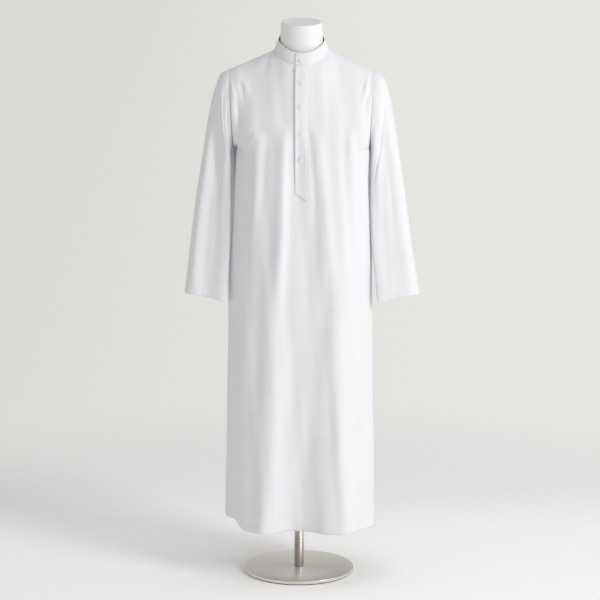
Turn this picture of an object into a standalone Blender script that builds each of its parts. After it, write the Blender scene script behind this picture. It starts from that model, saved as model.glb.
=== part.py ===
"""A thobe, a white ankle-length robe with a band collar and a buttoned placket, on a limbless dress form
with a steel stand. Metres, +Z up, the wearer faces -Y, so +X is the wearer's left. The origin is in the
middle of the stand's underside. Each cut piece of the robe is a thin closed wall of its own."""

from collections import namedtuple
from math import asin, cos, degrees, pi, radians, sin

import bpy
import bmesh
from mathutils import Vector

# Cloth
CLOTH = 0.0015
COLLAR_CLOTH = 0.0020
SEAM_GAP = 0.00045
COLLAR_GAP = 0.0009
LAY_GAP = 0.0006

# The robe's body below the arms, as level rings. Angles go round a ring in degrees from the front middle,
# and are positive towards +X: 90 is the side seam on +X, and 180 is the back middle.
HEM_Z = 0.150
UNDERARM_Z = 1.262
RING_SPREAD = 2.4

# The hem rises by this much at the side seam on -X. The rise is whole near its middle, and dies away
# over further angles towards the front and the back.
HEM_RISE = 0.024
HEM_RISE_MIDDLE, HEM_RISE_WHOLE = -85.0, 19.0
HEM_RISE_FADE_FRONT, HEM_RISE_FADE_BACK = 24.0, 38.0

Ring = namedtuple("Ring", "height half_width front back squareness")
BODY_RINGS = (
    Ring(0.150, 0.2160, 0.150, 0.152, 2.40),
    Ring(0.330, 0.2135, 0.147, 0.148, 2.40),
    Ring(0.570, 0.2105, 0.142, 0.142, 2.40),
    Ring(0.810, 0.2060, 0.137, 0.134, 2.45),
    Ring(0.930, 0.2015, 0.135, 0.127, 2.55),
    Ring(1.050, 0.1945, 0.133, 0.117, 2.65),
    Ring(1.162, 0.1898, 0.131, 0.112, 2.75),
    Ring(1.262, 0.1935, 0.128, 0.113, 2.80),
)

# Folds that hang from the chest or the back. Each starts at a height, passes the three levels at its own
# angle and depth (positive stands out), and is as wide as its width in degrees.
CHEST_LEVEL, KNEE_LEVEL = 1.10, 0.62
Fold = namedtuple("Fold", "start width chest_at chest knee_at knee hem_at hem")
HANGING_FOLDS = (
    Fold(1.10, 14.0, -1.0, 0.000, -1.0, -0.015, -1.4, -0.041),
    Fold(1.36, 10.5, -20.0, 0.008, -19.5, 0.009, -25.5, 0.014),
    Fold(1.34, 9.0, -36.0, 0.005, -37.0, 0.000, -38.0, 0.000),
    Fold(1.30, 14.0, -62.0, 0.000, -62.0, -0.004, -61.0, -0.010),
    Fold(1.36, 7.0, 8.0, -0.004, 9.0, -0.002, 9.0, 0.000),
    Fold(1.34, 12.5, 29.0, 0.008, 30.0, 0.010, 31.0, 0.018),
    Fold(1.34, 8.0, 53.0, -0.004, 53.0, -0.002, 54.0, 0.003),
    Fold(1.00, 14.0, 76.0, 0.000, 76.0, 0.002, 75.0, 0.006),
    Fold(1.25, 11.0, 84.0, 0.0035, 83.0, 0.001, 83.0, 0.000),
    Fold(1.50, 9.5, 108.0, 0.025, 106.0, 0.003, 104.0, 0.002),
    Fold(1.50, 9.5, -108.0, 0.025, -106.0, 0.004, -104.0, 0.003),
    Fold(1.20, 13.0, 118.0, 0.000, 120.0, -0.008, 122.0, -0.022),
    Fold(1.34, 11.0, 146.0, 0.004, 148.0, 0.008, 150.0, 0.014),
    Fold(1.24, 12.0, 172.0, -0.003, 173.0, -0.014, 174.0, -0.040),
    Fold(1.34, 12.0, -158.0, 0.004, -160.0, 0.009, -157.0, 0.016),
    Fold(1.20, 13.0, -130.0, 0.000, -132.0, -0.008, -131.0, -0.024),
)

# Soft drags on the chest and shoulders, as straight strokes seen from the front or the back
Drag = namedtuple("Drag", "x0 z0 x1 z1 width depth")
FRONT_DRAGS = (
    Drag(-0.170, 1.430, -0.184, 1.300, 0.028, -0.010),
    Drag(0.178, 1.430, 0.186, 1.310, 0.022, -0.004),
    Drag(-0.185, 1.440, -0.150, 1.385, 0.018, -0.004),
    Drag(0.185, 1.440, 0.155, 1.380, 0.018, -0.004),
    Drag(-0.170, 1.420, -0.145, 1.300, 0.016, 0.003),
    Drag(0.172, 1.420, 0.140, 1.290, 0.016, 0.003),
)
BACK_DRAGS = (
    Drag(-0.170, 1.430, -0.125, 1.330, 0.020, -0.004),
    Drag(0.165, 1.430, 0.130, 1.320, 0.018, -0.003),
)

# Neck, shoulders and armholes
NECK = Vector((0.077, 0.0, 1.536))
NECK_FRONT = Vector((0.0, -0.080, 1.5035))
NECK_BACK = Vector((0.0, 0.070, 1.561))
SHOULDER = Vector((0.2055, 0.0, 1.4796))
UNDERARM = Vector((0.1935, 0.0, UNDERARM_Z))
ARMHOLE_HALF_DEPTH = 0.070
NECK_EASE = 0.55
NECKLINE_REACH, CORNER_REACH, SHOULDER_REACH = 0.040, 0.080, 0.093
CORNER_TURN = 32.0
CHEST_LIFT = 0.110
CENTRE_FALL_FRONT, CENTRE_FALL_BACK = 1.35, 1.15
ELLIPSE_HANDLE = 4.0 / 3.0
ARMHOLE_SHARE = 0.35
DRAG_OVERRUN = 0.4
DRAG_EDGE = 0.7
DRAG_TOP_FADE = 0.15

# A panel's columns, counted from the middle to the armhole
PLACKET_HALF_OPENING = 0.0135
OPENING_COLUMN = 1
NECK_COLUMN = 7
LAST_COLUMN = 17
SKIRT_ROWS = 13
YOKE_ROWS = 12
OPENING_BOTTOM_Z = 1.148

# Sleeves, from the armhole to the cuff: outer edge, inner edge, middle and half depth in y, and how far
# the front edge is lifted as the sleeve leans forward
Sleeve = namedtuple("Sleeve", "out_x out_z in_x in_z mid_y half_depth lift swing")
SLEEVE_SECTIONS = (
    Sleeve(0.2060, 1.4796, 0.1940, 1.2620, 0.000, 0.0700, 0.0000, 0.000),
    Sleeve(0.2225, 1.4722, 0.1958, 1.2540, 0.000, 0.0715, 0.0000, 0.000),
    Sleeve(0.2355, 1.4575, 0.1972, 1.2440, 0.000, 0.0730, 0.0000, 0.000),
    Sleeve(0.2450, 1.4320, 0.1985, 1.2330, 0.001, 0.0740, 0.0000, 0.000),
    Sleeve(0.2545, 1.3940, 0.1990, 1.2180, 0.003, 0.0720, 0.0000, 0.000),
    Sleeve(0.2668, 1.3330, 0.1992, 1.1940, 0.005, 0.0685, 0.0000, 0.000),
    Sleeve(0.2780, 1.2620, 0.1990, 1.1600, 0.004, 0.0640, 0.0000, 0.000),
    Sleeve(0.2905, 1.1800, 0.1990, 1.1120, 0.000, 0.0600, 0.0010, 0.000),
    Sleeve(0.3035, 1.0900, 0.2010, 1.0430, -0.006, 0.0560, 0.0020, 0.000),
    Sleeve(0.3160, 1.0000, 0.2042, 0.9640, -0.014, 0.0525, 0.0035, 0.001),
    Sleeve(0.3270, 0.9170, 0.2105, 0.8910, -0.022, 0.0490, 0.0050, 0.003),
    Sleeve(0.3375, 0.8355, 0.2172, 0.8180, -0.030, 0.0460, 0.0065, 0.005),
)
SLEEVE_AROUND = 2 * YOKE_ROWS
SLEEVE_ALONG = 18

# The sleeves hang flat and a little turned. The half next to the body leads forward of the outer half: how
# far at the inner edge, the share of the width where it starts, and how the lead grows across the rest
SLEEVE_LEAD = 0.048
LEAD_FROM, LEAD_POWER = 0.38, 1.5
# The share of its depth the inner half loses, and the section from which the sleeve is wholly flat
INNER_THIN = 0.5
FLAT_AT = 5.0

# Folds of the sleeves: the section numbers where each starts and ends, the angle round the sleeve there
# (0 outer edge, 90 front, 180 next to the body), the width in degrees and the depth
SleeveFold = namedtuple("SleeveFold", "start end at_start at_end width depth")
LEFT_SLEEVE_FOLDS = (
    SleeveFold(2.0, 9.5, 52.0, 142.0, 22.0, -0.0045),
    SleeveFold(3.0, 11.0, 84.0, 160.0, 20.0, 0.0030),
    SleeveFold(4.0, 11.5, 30.0, 74.0, 24.0, 0.0025),
    SleeveFold(2.0, 10.0, 306.0, 236.0, 23.0, -0.0045),
    SleeveFold(3.0, 11.0, 262.0, 214.0, 20.0, 0.0030),
)
RIGHT_SLEEVE_FOLDS = (
    SleeveFold(1.5, 10.0, 64.0, 112.0, 21.0, -0.0050),
    SleeveFold(2.0, 8.5, 104.0, 152.0, 20.0, 0.0038),
    SleeveFold(3.5, 11.8, 40.0, 52.0, 20.0, 0.0070),
    SleeveFold(2.0, 10.0, 300.0, 244.0, 22.0, -0.0048),
    SleeveFold(3.0, 10.5, 258.0, 216.0, 20.0, 0.0032),
)

# Band collar: its lower edge is the neckline, and its upper edge is this ring
COLLAR_TOP_SIDE = Vector((0.066, 0.0, 1.568))
COLLAR_TOP_FRONT = Vector((0.0, -0.0725, 1.538))
COLLAR_TOP_BACK = Vector((0.0, 0.0645, 1.595))
COLLAR_LAP = 0.0014
COLLAR_LAP_LENGTH = 24.0
COLLAR_LAP_FADE = 30.0
COLLAR_COLUMNS = 50
COLLAR_ROWS = 2

# Placket and buttons
PLACKET_EDGES = (-0.0173, 0.0155)
PLACKET_TOP_GAP = 0.0010
PLACKET_CLOTH = 0.0014
PLACKET_SLANT = 0.020
PLACKET_END_Z = 1.143
STRIP_STEP_LOW, STRIP_STEP_HIGH = 0.004, 0.020
BUTTON_BAND_EDGES = (-0.0185, 0.0155)
BUTTON_TURN = 361.0
BUTTON_X = -0.0012
BUTTON_HEIGHTS = (1.460, 1.3925, 1.3175, 1.2435)
COLLAR_BUTTON_HEIGHT = 0.42
BUTTON_RADIUS = 0.0054
BUTTON_THICK = 0.0024
BUTTON_SIDES = 14
BUTTON_CLEAR = 0.0009

# Half of a button's outline from the middle of its back to the middle of its dished face, as shares of the
# radius and the thickness
BUTTON_PROFILE = (
    (0.00, 0.00), (0.86, 0.00), (1.00, 0.35), (1.00, 0.75),
    (0.88, 1.00), (0.66, 0.92), (0.52, 0.62), (0.00, 0.55),
)

# Dress form: half width, front and back of its level sections
FORM_RINGS = (
    Ring(0.780, 0.1500, 0.098, 0.098, 2.3),
    Ring(0.786, 0.1570, 0.105, 0.105, 2.3),
    Ring(0.800, 0.1620, 0.110, 0.110, 2.3),
    Ring(0.880, 0.1660, 0.114, 0.113, 2.3),
    Ring(1.000, 0.1560, 0.108, 0.098, 2.3),
    Ring(1.090, 0.1500, 0.106, 0.090, 2.3),
    Ring(1.180, 0.1580, 0.110, 0.094, 2.3),
    Ring(1.262, 0.1690, 0.112, 0.098, 2.3),
    Ring(1.330, 0.1790, 0.111, 0.099, 2.2),
    Ring(1.380, 0.1860, 0.101, 0.089, 2.0),
    Ring(1.420, 0.1890, 0.086, 0.074, 1.75),
    Ring(1.450, 0.1880, 0.071, 0.060, 1.48),
    Ring(1.470, 0.1810, 0.063, 0.056, 1.30),
    Ring(1.488, 0.1570, 0.061, 0.057, 1.22),
    Ring(1.502, 0.1260, 0.0605, 0.058, 1.22),
    Ring(1.515, 0.0970, 0.0605, 0.0600, 1.40),
    Ring(1.527, 0.0760, 0.0605, 0.0605, 1.70),
    Ring(1.540, 0.0660, 0.0605, 0.0605, 2.0),
    Ring(1.560, 0.0610, 0.0605, 0.0605, 2.0),
    Ring(1.590, 0.0592, 0.0592, 0.0592, 2.0),
)
FORM_SIDES = 32
NECK_TOP_Z = 1.6175
NECK_TOP_RADIUS = 0.0585
NECK_TOP_ROUND = 0.0035
NECK_TILT = radians(4.8)
SOCKET_RADIUS = 0.0146
SOCKET_DEPTH = 0.040

# Stand
PAD_RADIUS, PAD_THICK = 0.1555, 0.003
BASE_RADIUS, BASE_THICK, BASE_ROUND = 0.160, 0.010, 0.002
POLE_RADIUS = 0.0140
FIT_GAP = 0.0003
ROUND_SIDES = 56
POLE_SIDES = 32
ROUND_STEPS = 4
NECK_ROUND_STEPS = 3


def clear_scene():
    for old in list(bpy.data.objects):
        bpy.data.objects.remove(old, do_unlink=True)


def material(name, colour, roughness, metallic=0.0):
    made = bpy.data.materials.new(name)
    made.use_nodes = True
    shader = made.node_tree.nodes["Principled BSDF"]
    shader.inputs["Base Color"].default_value = (*colour, 1.0)
    shader.inputs["Roughness"].default_value = roughness
    shader.inputs["Metallic"].default_value = metallic
    return made


def smooth_step(value):
    value = min(max(value, 0.0), 1.0)
    return value * value * (3.0 - 2.0 * value)


def through_rows(rows, places, at):
    """The row at the place `at`, on a smooth curve through the rows, which lie at the rising places."""
    last = len(rows) - 1
    at = min(max(at, places[0]), places[last])
    i = max(k for k in range(last) if places[k] <= at)
    span = places[i + 1] - places[i]
    t = (at - places[i]) / span

    def slope(k, column):
        a, b = max(k - 1, 0), min(k + 1, last)
        return (rows[b][column] - rows[a][column]) / (places[b] - places[a])

    def value(column):
        rise = rows[i + 1][column] - rows[i][column]
        start, end = slope(i, column) * span, slope(i + 1, column) * span
        curve = ((start + end - 2 * rise) * t + 3 * rise - 2 * start - end) * t + start
        return rows[i][column] + curve * t

    return type(rows[0])(*(value(column) for column in range(len(rows[0]))))


def section_at(rings, height):
    return through_rows(rings, [ring.height for ring in rings], height)


def through_levels(height, chest, knee, hem):
    """The curve through three values, at the chest, the knee and the hem."""
    a = (height - KNEE_LEVEL) * (height - HEM_Z) / ((CHEST_LEVEL - KNEE_LEVEL) * (CHEST_LEVEL - HEM_Z))
    b = (height - CHEST_LEVEL) * (height - HEM_Z) / ((KNEE_LEVEL - CHEST_LEVEL) * (KNEE_LEVEL - HEM_Z))
    c = (height - CHEST_LEVEL) * (height - KNEE_LEVEL) / ((HEM_Z - CHEST_LEVEL) * (HEM_Z - KNEE_LEVEL))
    return a * chest + b * knee + c * hem


def wave(distance, width):
    """A soft swell, 1 in its middle and nothing past twice its width."""
    reach = abs(distance) / (2.0 * width)
    return 0.0 if reach >= 1.0 else (0.5 + 0.5 * cos(pi * reach)) ** 2


def hanging_folds(angle, height):
    """How far the folds move the cloth out at this angle and height."""
    total = 0.0
    for fold in HANGING_FOLDS:
        if height >= fold.start:
            continue
        level = min(height, CHEST_LEVEL)
        middle = through_levels(level, fold.chest_at, fold.knee_at, fold.hem_at)
        depth = through_levels(level, fold.chest, fold.knee, fold.hem)
        fade = smooth_step((fold.start - height) / max(fold.start - CHEST_LEVEL, 0.25))
        apart = (angle - middle + 180.0) % 360.0 - 180.0
        total += depth * fade * wave(apart, fold.width)
    return total


def ring_reach(angle):
    """How far across a level section an angle lies, from 0 in the middle to 1 at the side."""
    return abs(sin(radians(angle))) ** (2.0 / RING_SPREAD)


def ring_point(ring, angle, out=0.0):
    """A point of a level section, moved out by `out`, and the level direction that points out of it."""
    across = ring_reach(angle)
    ahead = max(1.0 - across ** ring.squareness, 0.0) ** (1.0 / ring.squareness)
    side = 1 if sin(radians(angle)) >= 0 else -1
    facing = -1 if cos(radians(angle)) > 0 else 1
    depth = ring.front if facing < 0 else ring.back
    steep = ring.squareness - 1.0
    sideways, forwards = across ** steep / ring.half_width, ahead ** steep / depth
    normal = Vector((side * sideways, facing * forwards, 0.0)).normalized()
    point = Vector((side * across * ring.half_width, facing * ahead * depth, ring.height))
    return point + normal * out, normal


def hem_height(angle):
    apart = (angle - HEM_RISE_MIDDLE + 180.0) % 360.0 - 180.0
    fade = HEM_RISE_FADE_FRONT if apart > 0 else HEM_RISE_FADE_BACK
    return HEM_Z + HEM_RISE * (1.0 - smooth_step((abs(apart) - HEM_RISE_WHOLE) / fade))


def body_point(angle, height):
    """The robe's outer face below the arms."""
    ring = section_at(BODY_RINGS, height)
    return ring_point(ring, angle, hanging_folds(angle, height))[0]


def neck_ring(angle, side, front, back):
    """A tilted oval through three points, such as the neckline: angle 0 is its front and 90 is +X."""
    c = cos(radians(angle))
    end = front if c > 0 else back
    drop = abs(c) * (NECK_EASE + (1.0 - NECK_EASE) * abs(c))
    return Vector((side.x * sin(radians(angle)), end.y * abs(c), side.z + (end.z - side.z) * drop))


def bezier(points, t):
    a, b, c, d = points
    u = 1.0 - t
    return a * u ** 3 + b * (3 * u * u * t) + c * (3 * u * t * t) + d * t ** 3


def mirrored(point, side):
    return Vector((point.x * side, point.y, point.z))


def column_angle(column):
    """The ring angle of a column on the body, with whole columns on both edges of the placket's opening."""
    first = angle_across(PLACKET_HALF_OPENING)
    if column <= OPENING_COLUMN:
        return angle_across(PLACKET_HALF_OPENING * column)
    return first + (90.0 - first) * (column - OPENING_COLUMN) / (LAST_COLUMN - OPENING_COLUMN)


def angle_across(x):
    """The ring angle that lies this far from the middle at the underarm level."""
    return degrees(asin((x / UNDERARM.x) ** (RING_SPREAD / 2.0)))


def column_across(x):
    """The column of the front panel that lies at this x at the underarm level."""
    if abs(x) <= PLACKET_HALF_OPENING:
        return x / PLACKET_HALF_OPENING
    first = angle_across(PLACKET_HALF_OPENING)
    share = (angle_across(abs(x)) - first) / (90.0 - first)
    column = OPENING_COLUMN + share * (LAST_COLUMN - OPENING_COLUMN)
    return column if x > 0 else -column


def column_top(column, facing):
    """The top end of a column on the neckline or the shoulder seam, and the way its cloth sets off."""
    if column < NECK_COLUMN:
        first = degrees(asin(PLACKET_HALF_OPENING / NECK.x))
        rest = first + (90.0 - first) * (column - OPENING_COLUMN) / (NECK_COLUMN - OPENING_COLUMN)
        middle = degrees(asin(PLACKET_HALF_OPENING * min(column, 1.0) / NECK.x))
        angle = middle if column <= OPENING_COLUMN else rest
        start = NECK_FRONT if facing < 0 else NECK_BACK
        top = neck_ring(angle, NECK, start, start)
        turn = radians(CORNER_TURN * angle / 90.0)
        reach = NECKLINE_REACH + (CORNER_REACH - NECKLINE_REACH) * (angle / 90.0) ** 2
        share = 0.0
    else:
        share = (column - NECK_COLUMN) / (LAST_COLUMN - NECK_COLUMN)
        top = NECK.lerp(SHOULDER, share)
        turn = radians(CORNER_TURN) * (1.0 - share)
        reach = CORNER_REACH + (SHOULDER_REACH - CORNER_REACH) * share
        angle = 90.0
    out, ahead = sin(turn) * reach, cos(turn) * reach
    shoulder_fall = (SHOULDER.z - NECK.z) / (SHOULDER.x - NECK.x)
    neck_fall = (NECK_FRONT.z - NECK.z) / -NECK_FRONT.y * NECK_EASE * (1.0 - share) if facing < 0 else 0.0
    at_neck = cos(radians(angle))
    centre_fall = -CENTRE_FALL_FRONT if facing < 0 else -CENTRE_FALL_BACK
    fall = (shoulder_fall * out + neck_fall * ahead) * (1.0 - at_neck) + centre_fall * ahead * at_neck
    away = Vector((out, facing * ahead, fall))
    return top, away


def column_curve(column, facing):
    """The four points of a column's curve from the underarm level up to its top."""
    bottom = ring_point(BODY_RINGS[-1], column_angle(column))[0]
    bottom.y = abs(bottom.y) * facing
    if facing > 0:
        bottom.y = ring_point(BODY_RINGS[-1], 180.0 - column_angle(column))[0].y
    top, away = column_top(column, facing)
    side = smooth_step((column / LAST_COLUMN - ARMHOLE_SHARE) / (1.0 - ARMHOLE_SHARE))
    lift = CHEST_LIFT * (1.0 - side)
    forward = ARMHOLE_HALF_DEPTH * ELLIPSE_HANDLE * side
    return bottom, bottom + Vector((0.0, facing * forward, lift)), top + away, top


def drag_depth(drags, x, z):
    """How far the drags move the cloth out at this place, seen from the front."""
    total = 0.0
    for drag in drags:
        along = Vector((drag.x1 - drag.x0, drag.z1 - drag.z0))
        place = Vector((x - drag.x0, z - drag.z0))
        share = place.dot(along) / along.length_squared
        if -DRAG_OVERRUN < share < 1.0 + DRAG_OVERRUN:
            off = abs(place.x * along.y - place.y * along.x) / along.length
            fade = sin(pi * (share + DRAG_OVERRUN) / (1.0 + 2.0 * DRAG_OVERRUN)) ** 2
            total += drag.depth * fade * wave(off, drag.width)
    return total


def panel_point(facing, column, row):
    """The outer face of the front (facing -1) or back (+1) panel. Columns run from -LAST_COLUMN at -X to
    +LAST_COLUMN, rows from 0 at the hem to 1 at the underarm and 2 at the neckline and shoulder seams."""
    side = -1 if column < 0 else 1
    angle = column_angle(abs(column)) * side
    if facing > 0:
        angle = 180.0 - angle
    if row <= 1.0:
        hem = hem_height(angle)
        return body_point(angle, hem + (UNDERARM_Z - hem) * row)
    point = mirrored(bezier(column_curve(abs(column), facing), row - 1.0), side)
    out = hanging_folds(angle, point.z) * (1.0 - smooth_step(2.0 * row - 3.0))
    drags = FRONT_DRAGS if facing < 0 else BACK_DRAGS
    edge = 1.0 - smooth_step((abs(column) / LAST_COLUMN - DRAG_EDGE) / (1.0 - DRAG_EDGE))
    drag = drag_depth(drags, point.x, point.z) * edge * smooth_step((2.0 - row) / DRAG_TOP_FADE)
    flat = ring_point(BODY_RINGS[-1], angle)[1]
    return point + flat * out + Vector((0.0, facing, 0.0)) * drag


# Steps over which a surface's direction is taken: columns and rows, degrees and sections, degrees and height
PANEL_STEPS = (0.08, 0.004)
SLEEVE_STEPS = (3.0, 0.05)
COLLAR_STEPS = (1.0, 0.05)
TOP_ROW = 1.999


def face_normal(surface, a, b, steps, limits, outward):
    """The outward direction of surface(a, b), from differences kept inside the limits."""
    low_a, high_a, low_b, high_b = limits
    da, db = steps
    along_a = surface(min(a + da, high_a), b) - surface(max(a - da, low_a), b)
    along_b = surface(a, min(b + db, high_b)) - surface(a, max(b - db, low_b))
    normal = along_a.cross(along_b).normalized()
    return -normal if normal.dot(outward) < 0 else normal


def panel_normal(facing, column, row):
    point = panel_point(facing, column, row)
    at_seam = abs(column) >= NECK_COLUMN and row > TOP_ROW
    if at_seam:
        slope = (SHOULDER - NECK).normalized()
        side = -1 if column < 0 else 1
        return Vector((-slope.z * side, 0.0, slope.x))
    beyond = LAST_COLUMN + (1.0 if row <= 1.0 else 0.0)
    outward = Vector((point.x, point.y + 0.3 * facing, 0.4 if row > 1.5 else 0.0))

    def surface(a, b):
        return panel_point(facing, a, b)

    limits = (-beyond, beyond, 0.0, 1.0 if row <= 1.0 else 2.0)
    return face_normal(surface, column, row, PANEL_STEPS, limits, outward)


def panel_grid(facing, columns, rows, thickness=CLOTH, lift=0.0):
    """Outer and inner points of a panel, or of what lies on it when it is lifted. Its edges stand back
    from the seams."""
    outer, inner = [], []
    for row in rows:
        outer_row, inner_row = [], []
        for column in columns:
            point = panel_point(facing, column, row)
            normal = panel_normal(facing, column, row)
            if abs(column) == LAST_COLUMN and row <= 1.0:
                point.y += facing * SEAM_GAP * 0.5
            if row > TOP_ROW and abs(column) >= NECK_COLUMN:
                point.y += facing * SEAM_GAP * 0.5
            if row > TOP_ROW and abs(column) < NECK_COLUMN:
                below = panel_point(facing, column, row - 0.01)
                point += (below - point).normalized() * SEAM_GAP * 0.5
            outer_row.append(point + normal * lift)
            inner_row.append(point + normal * (lift - thickness))
        outer.append(outer_row)
        inner.append(inner_row)
    return outer, inner


def finish_mesh(name, mesh, look, sharp=40.0):
    loose = [v for v in mesh.verts if not v.link_faces]
    bmesh.ops.delete(mesh, geom=loose, context="VERTS")
    bmesh.ops.recalc_face_normals(mesh, faces=mesh.faces)
    data = bpy.data.meshes.new(name)
    mesh.to_mesh(data)
    mesh.free()
    data.shade_smooth()
    data.set_sharp_from_angle(angle=radians(sharp))
    data.materials.append(look)
    made = bpy.data.objects.new(name, data)
    bpy.context.scene.collection.objects.link(made)
    return made


def cloth_wall(name, outer, inner, look, wraps=False, is_open=None):
    """A closed wall between two grids of points. `wraps` joins the last column to the first, and cells
    for which is_open(row, column) is true are left out, with a rim round them."""
    mesh = bmesh.new()
    rows, columns = len(outer), len(outer[0])
    faces = [[mesh.verts.new(p) for p in row] for row in outer]
    backs = [[mesh.verts.new(p) for p in row] for row in inner]
    rims = {}
    for r in range(rows - 1):
        for c in range(columns if wraps else columns - 1):
            if is_open and is_open(r, c):
                continue
            d = (c + 1) % columns
            cell = ((r, c), (r, d), (r + 1, d), (r + 1, c))
            mesh.faces.new([faces[i][j] for i, j in cell])
            mesh.faces.new([backs[i][j] for i, j in reversed(cell)])
            for a, b in zip(cell, cell[1:] + cell[:1]):
                rims.pop((b, a)) if (b, a) in rims else rims.update({(a, b): True})
    for (a, b) in rims:
        mesh.faces.new((faces[b[0]][b[1]], faces[a[0]][a[1]], backs[a[0]][a[1]], backs[b[0]][b[1]]))
    return finish_mesh(name, mesh, look)


def panel_rows():
    skirt = [i / SKIRT_ROWS for i in range(SKIRT_ROWS + 1)]
    return skirt + [1.0 + (i + 1) / YOKE_ROWS for i in range(YOKE_ROWS)]


def row_at_height(column, height):
    """The front panel's row whose cloth is at this height, found by halving."""
    low, high = 0.0, 2.0
    for _ in range(40):
        middle = (low + high) / 2.0
        if panel_point(-1, column, middle).z < height:
            low = middle
        else:
            high = middle
    return (low + high) / 2.0


def front_rows():
    """The front panel's rows, with one moved to the lower end of the placket's opening, and that one."""
    rows = panel_rows()
    end = row_at_height(0, OPENING_BOTTOM_Z)
    nearest = min(range(len(rows)), key=lambda i: abs(rows[i] - end))
    rows[nearest] = end
    return rows, nearest


def make_panels(look):
    columns = list(range(-LAST_COLUMN, LAST_COLUMN + 1))
    rows, opening_row = front_rows()

    def placket_opening(r, c):
        return r >= opening_row and abs(columns[c] + 0.5) < OPENING_COLUMN

    outer, inner = panel_grid(-1, columns, rows)
    front = cloth_wall("front", outer, inner, look, is_open=placket_opening)
    outer, inner = panel_grid(1, columns, panel_rows())
    return front, cloth_wall("back", outer, inner, look)


def sleeve_point(side, folds, angle, place):
    """A sleeve's outer face: angle 0 is its outer edge and 90 its front; place counts the sections."""
    numbers = list(range(len(SLEEVE_SECTIONS)))
    cut = through_rows(SLEEVE_SECTIONS, numbers, place)
    out = Vector((cut.out_x, cut.mid_y, cut.out_z))
    inside = Vector((cut.in_x, cut.mid_y, cut.in_z))
    angle = angle % 360.0
    facing = 1 if angle <= 180.0 else -1
    handle = Vector((0.0, -cut.half_depth, cut.lift)) * (ELLIPSE_HANDLE * facing)
    share = angle / 180.0 if facing > 0 else (360.0 - angle) / 180.0
    flat = smooth_step(place / FLAT_AT)
    point = bezier((out, out + handle, inside + handle * (1.0 - INNER_THIN * flat), inside), share)
    depth = 0.0
    for fold in folds:
        run = (place - fold.start) / (fold.end - fold.start)
        if 0.0 < run < 1.0:
            middle = fold.at_start + (fold.at_end - fold.at_start) * run
            apart = (angle - middle + 180.0) % 360.0 - 180.0
            depth += fold.depth * smooth_step(2.5 * min(run, 1.0 - run)) * wave(apart, fold.width)
    away = (point - (out + inside) / 2.0).normalized()
    point += away * depth
    inward = max((smooth_step(share) - LEAD_FROM) / (1.0 - LEAD_FROM), 0.0) ** LEAD_POWER
    point.y -= SLEEVE_LEAD * inward * flat
    return Vector((point.x * side + cut.swing, point.y, point.z))


def make_sleeve(name, side, folds, look):
    last = len(SLEEVE_SECTIONS) - 1

    def surface(angle, place):
        return sleeve_point(side, folds, angle, place)

    outer, inner = [], []
    for i in range(SLEEVE_ALONG + 1):
        place = last * i / SLEEVE_ALONG
        angles = [360.0 * j / SLEEVE_AROUND for j in range(SLEEVE_AROUND)]
        ring = [surface(angle, place) for angle in angles]
        middle = sum(ring, Vector()) / len(ring)
        normals = [
            face_normal(surface, angle, place, SLEEVE_STEPS, (-360.0, 720.0, 0, last), point - middle)
            for angle, point in zip(angles, ring)
        ]
        outer.append(ring)
        inner.append([p - n * CLOTH for p, n in zip(ring, normals)])
    return cloth_wall(name, outer, inner, look, wraps=True)


def collar_ends():
    """The turns of the band's under end, past the front middle on +X, and of its over end on -X."""
    over, under = (degrees(asin(edge / NECK.x)) for edge in PLACKET_EDGES)
    return -under, 360.0 - over


def collar_point(turn, height):
    """The band's outer face, from its under end at the front, past -X, the back and +X, to its over end,
    which laps outside the under end. Height 0 is the neckline, and 1 the top."""
    low = neck_ring(-turn, NECK, NECK_FRONT, NECK_BACK)
    high = neck_ring(-turn, COLLAR_TOP_SIDE, COLLAR_TOP_FRONT, COLLAR_TOP_BACK)
    axis = (high - low).normalized()
    point = low + axis * COLLAR_GAP + (high - low - axis * COLLAR_GAP) * height
    start, end = collar_ends()
    over = 1.0 - smooth_step((end - turn - COLLAR_LAP_LENGTH) / COLLAR_LAP_FADE)
    under = 1.0 - smooth_step((turn - start - COLLAR_LAP_LENGTH) / COLLAR_LAP_FADE)
    away = Vector((point.x, point.y, 0.0)).normalized()
    return point + away * COLLAR_LAP * (over - under)


def make_collar(look):
    start, end = collar_ends()
    outer, inner = [], []
    for i in range(COLLAR_ROWS + 1):
        outer_row, inner_row = [], []
        for j in range(COLLAR_COLUMNS + 1):
            turn = start + (end - start) * j / COLLAR_COLUMNS
            height = i / COLLAR_ROWS
            point = collar_point(turn, height)
            middle = Vector((0.0, 0.0, point.z - 0.02))
            normal = face_normal(collar_point, turn, height, COLLAR_STEPS, (start, end, 0, 1), point - middle)
            outer_row.append(point)
            inner_row.append(point - normal * COLLAR_CLOTH)
        outer.append(outer_row)
        inner.append(inner_row)
    return cloth_wall("collar", outer, inner, look)


def strip_on_front(name, edges, low, high, lift, slant, look):
    """A narrow band over the front panel's own rows and columns, between two edges in x and two rows,
    with its lower end slanted."""
    left, right = edges
    columns = [column_across(left), -OPENING_COLUMN, 0.0, OPENING_COLUMN, column_across(right)]
    columns = sorted({min(max(column, columns[0]), columns[-1]) for column in columns})
    outer, inner = [], []
    between = [row for row in front_rows()[0] if low + STRIP_STEP_LOW < row < high - STRIP_STEP_HIGH]
    rows = [low] + between + [high]
    for i, row in enumerate(rows):
        outer_row, inner_row = [], []
        for column in columns:
            share = (column - columns[0]) / (columns[-1] - columns[0])
            place = row - slant * share if i == 0 else row
            point = panel_point(-1, column, place)
            normal = panel_normal(-1, column, place)
            outer_row.append(point + normal * lift)
            inner_row.append(point + normal * (lift - PLACKET_CLOTH))
        outer.append(outer_row)
        inner.append(inner_row)
    return cloth_wall(name, outer, inner, look)


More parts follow.
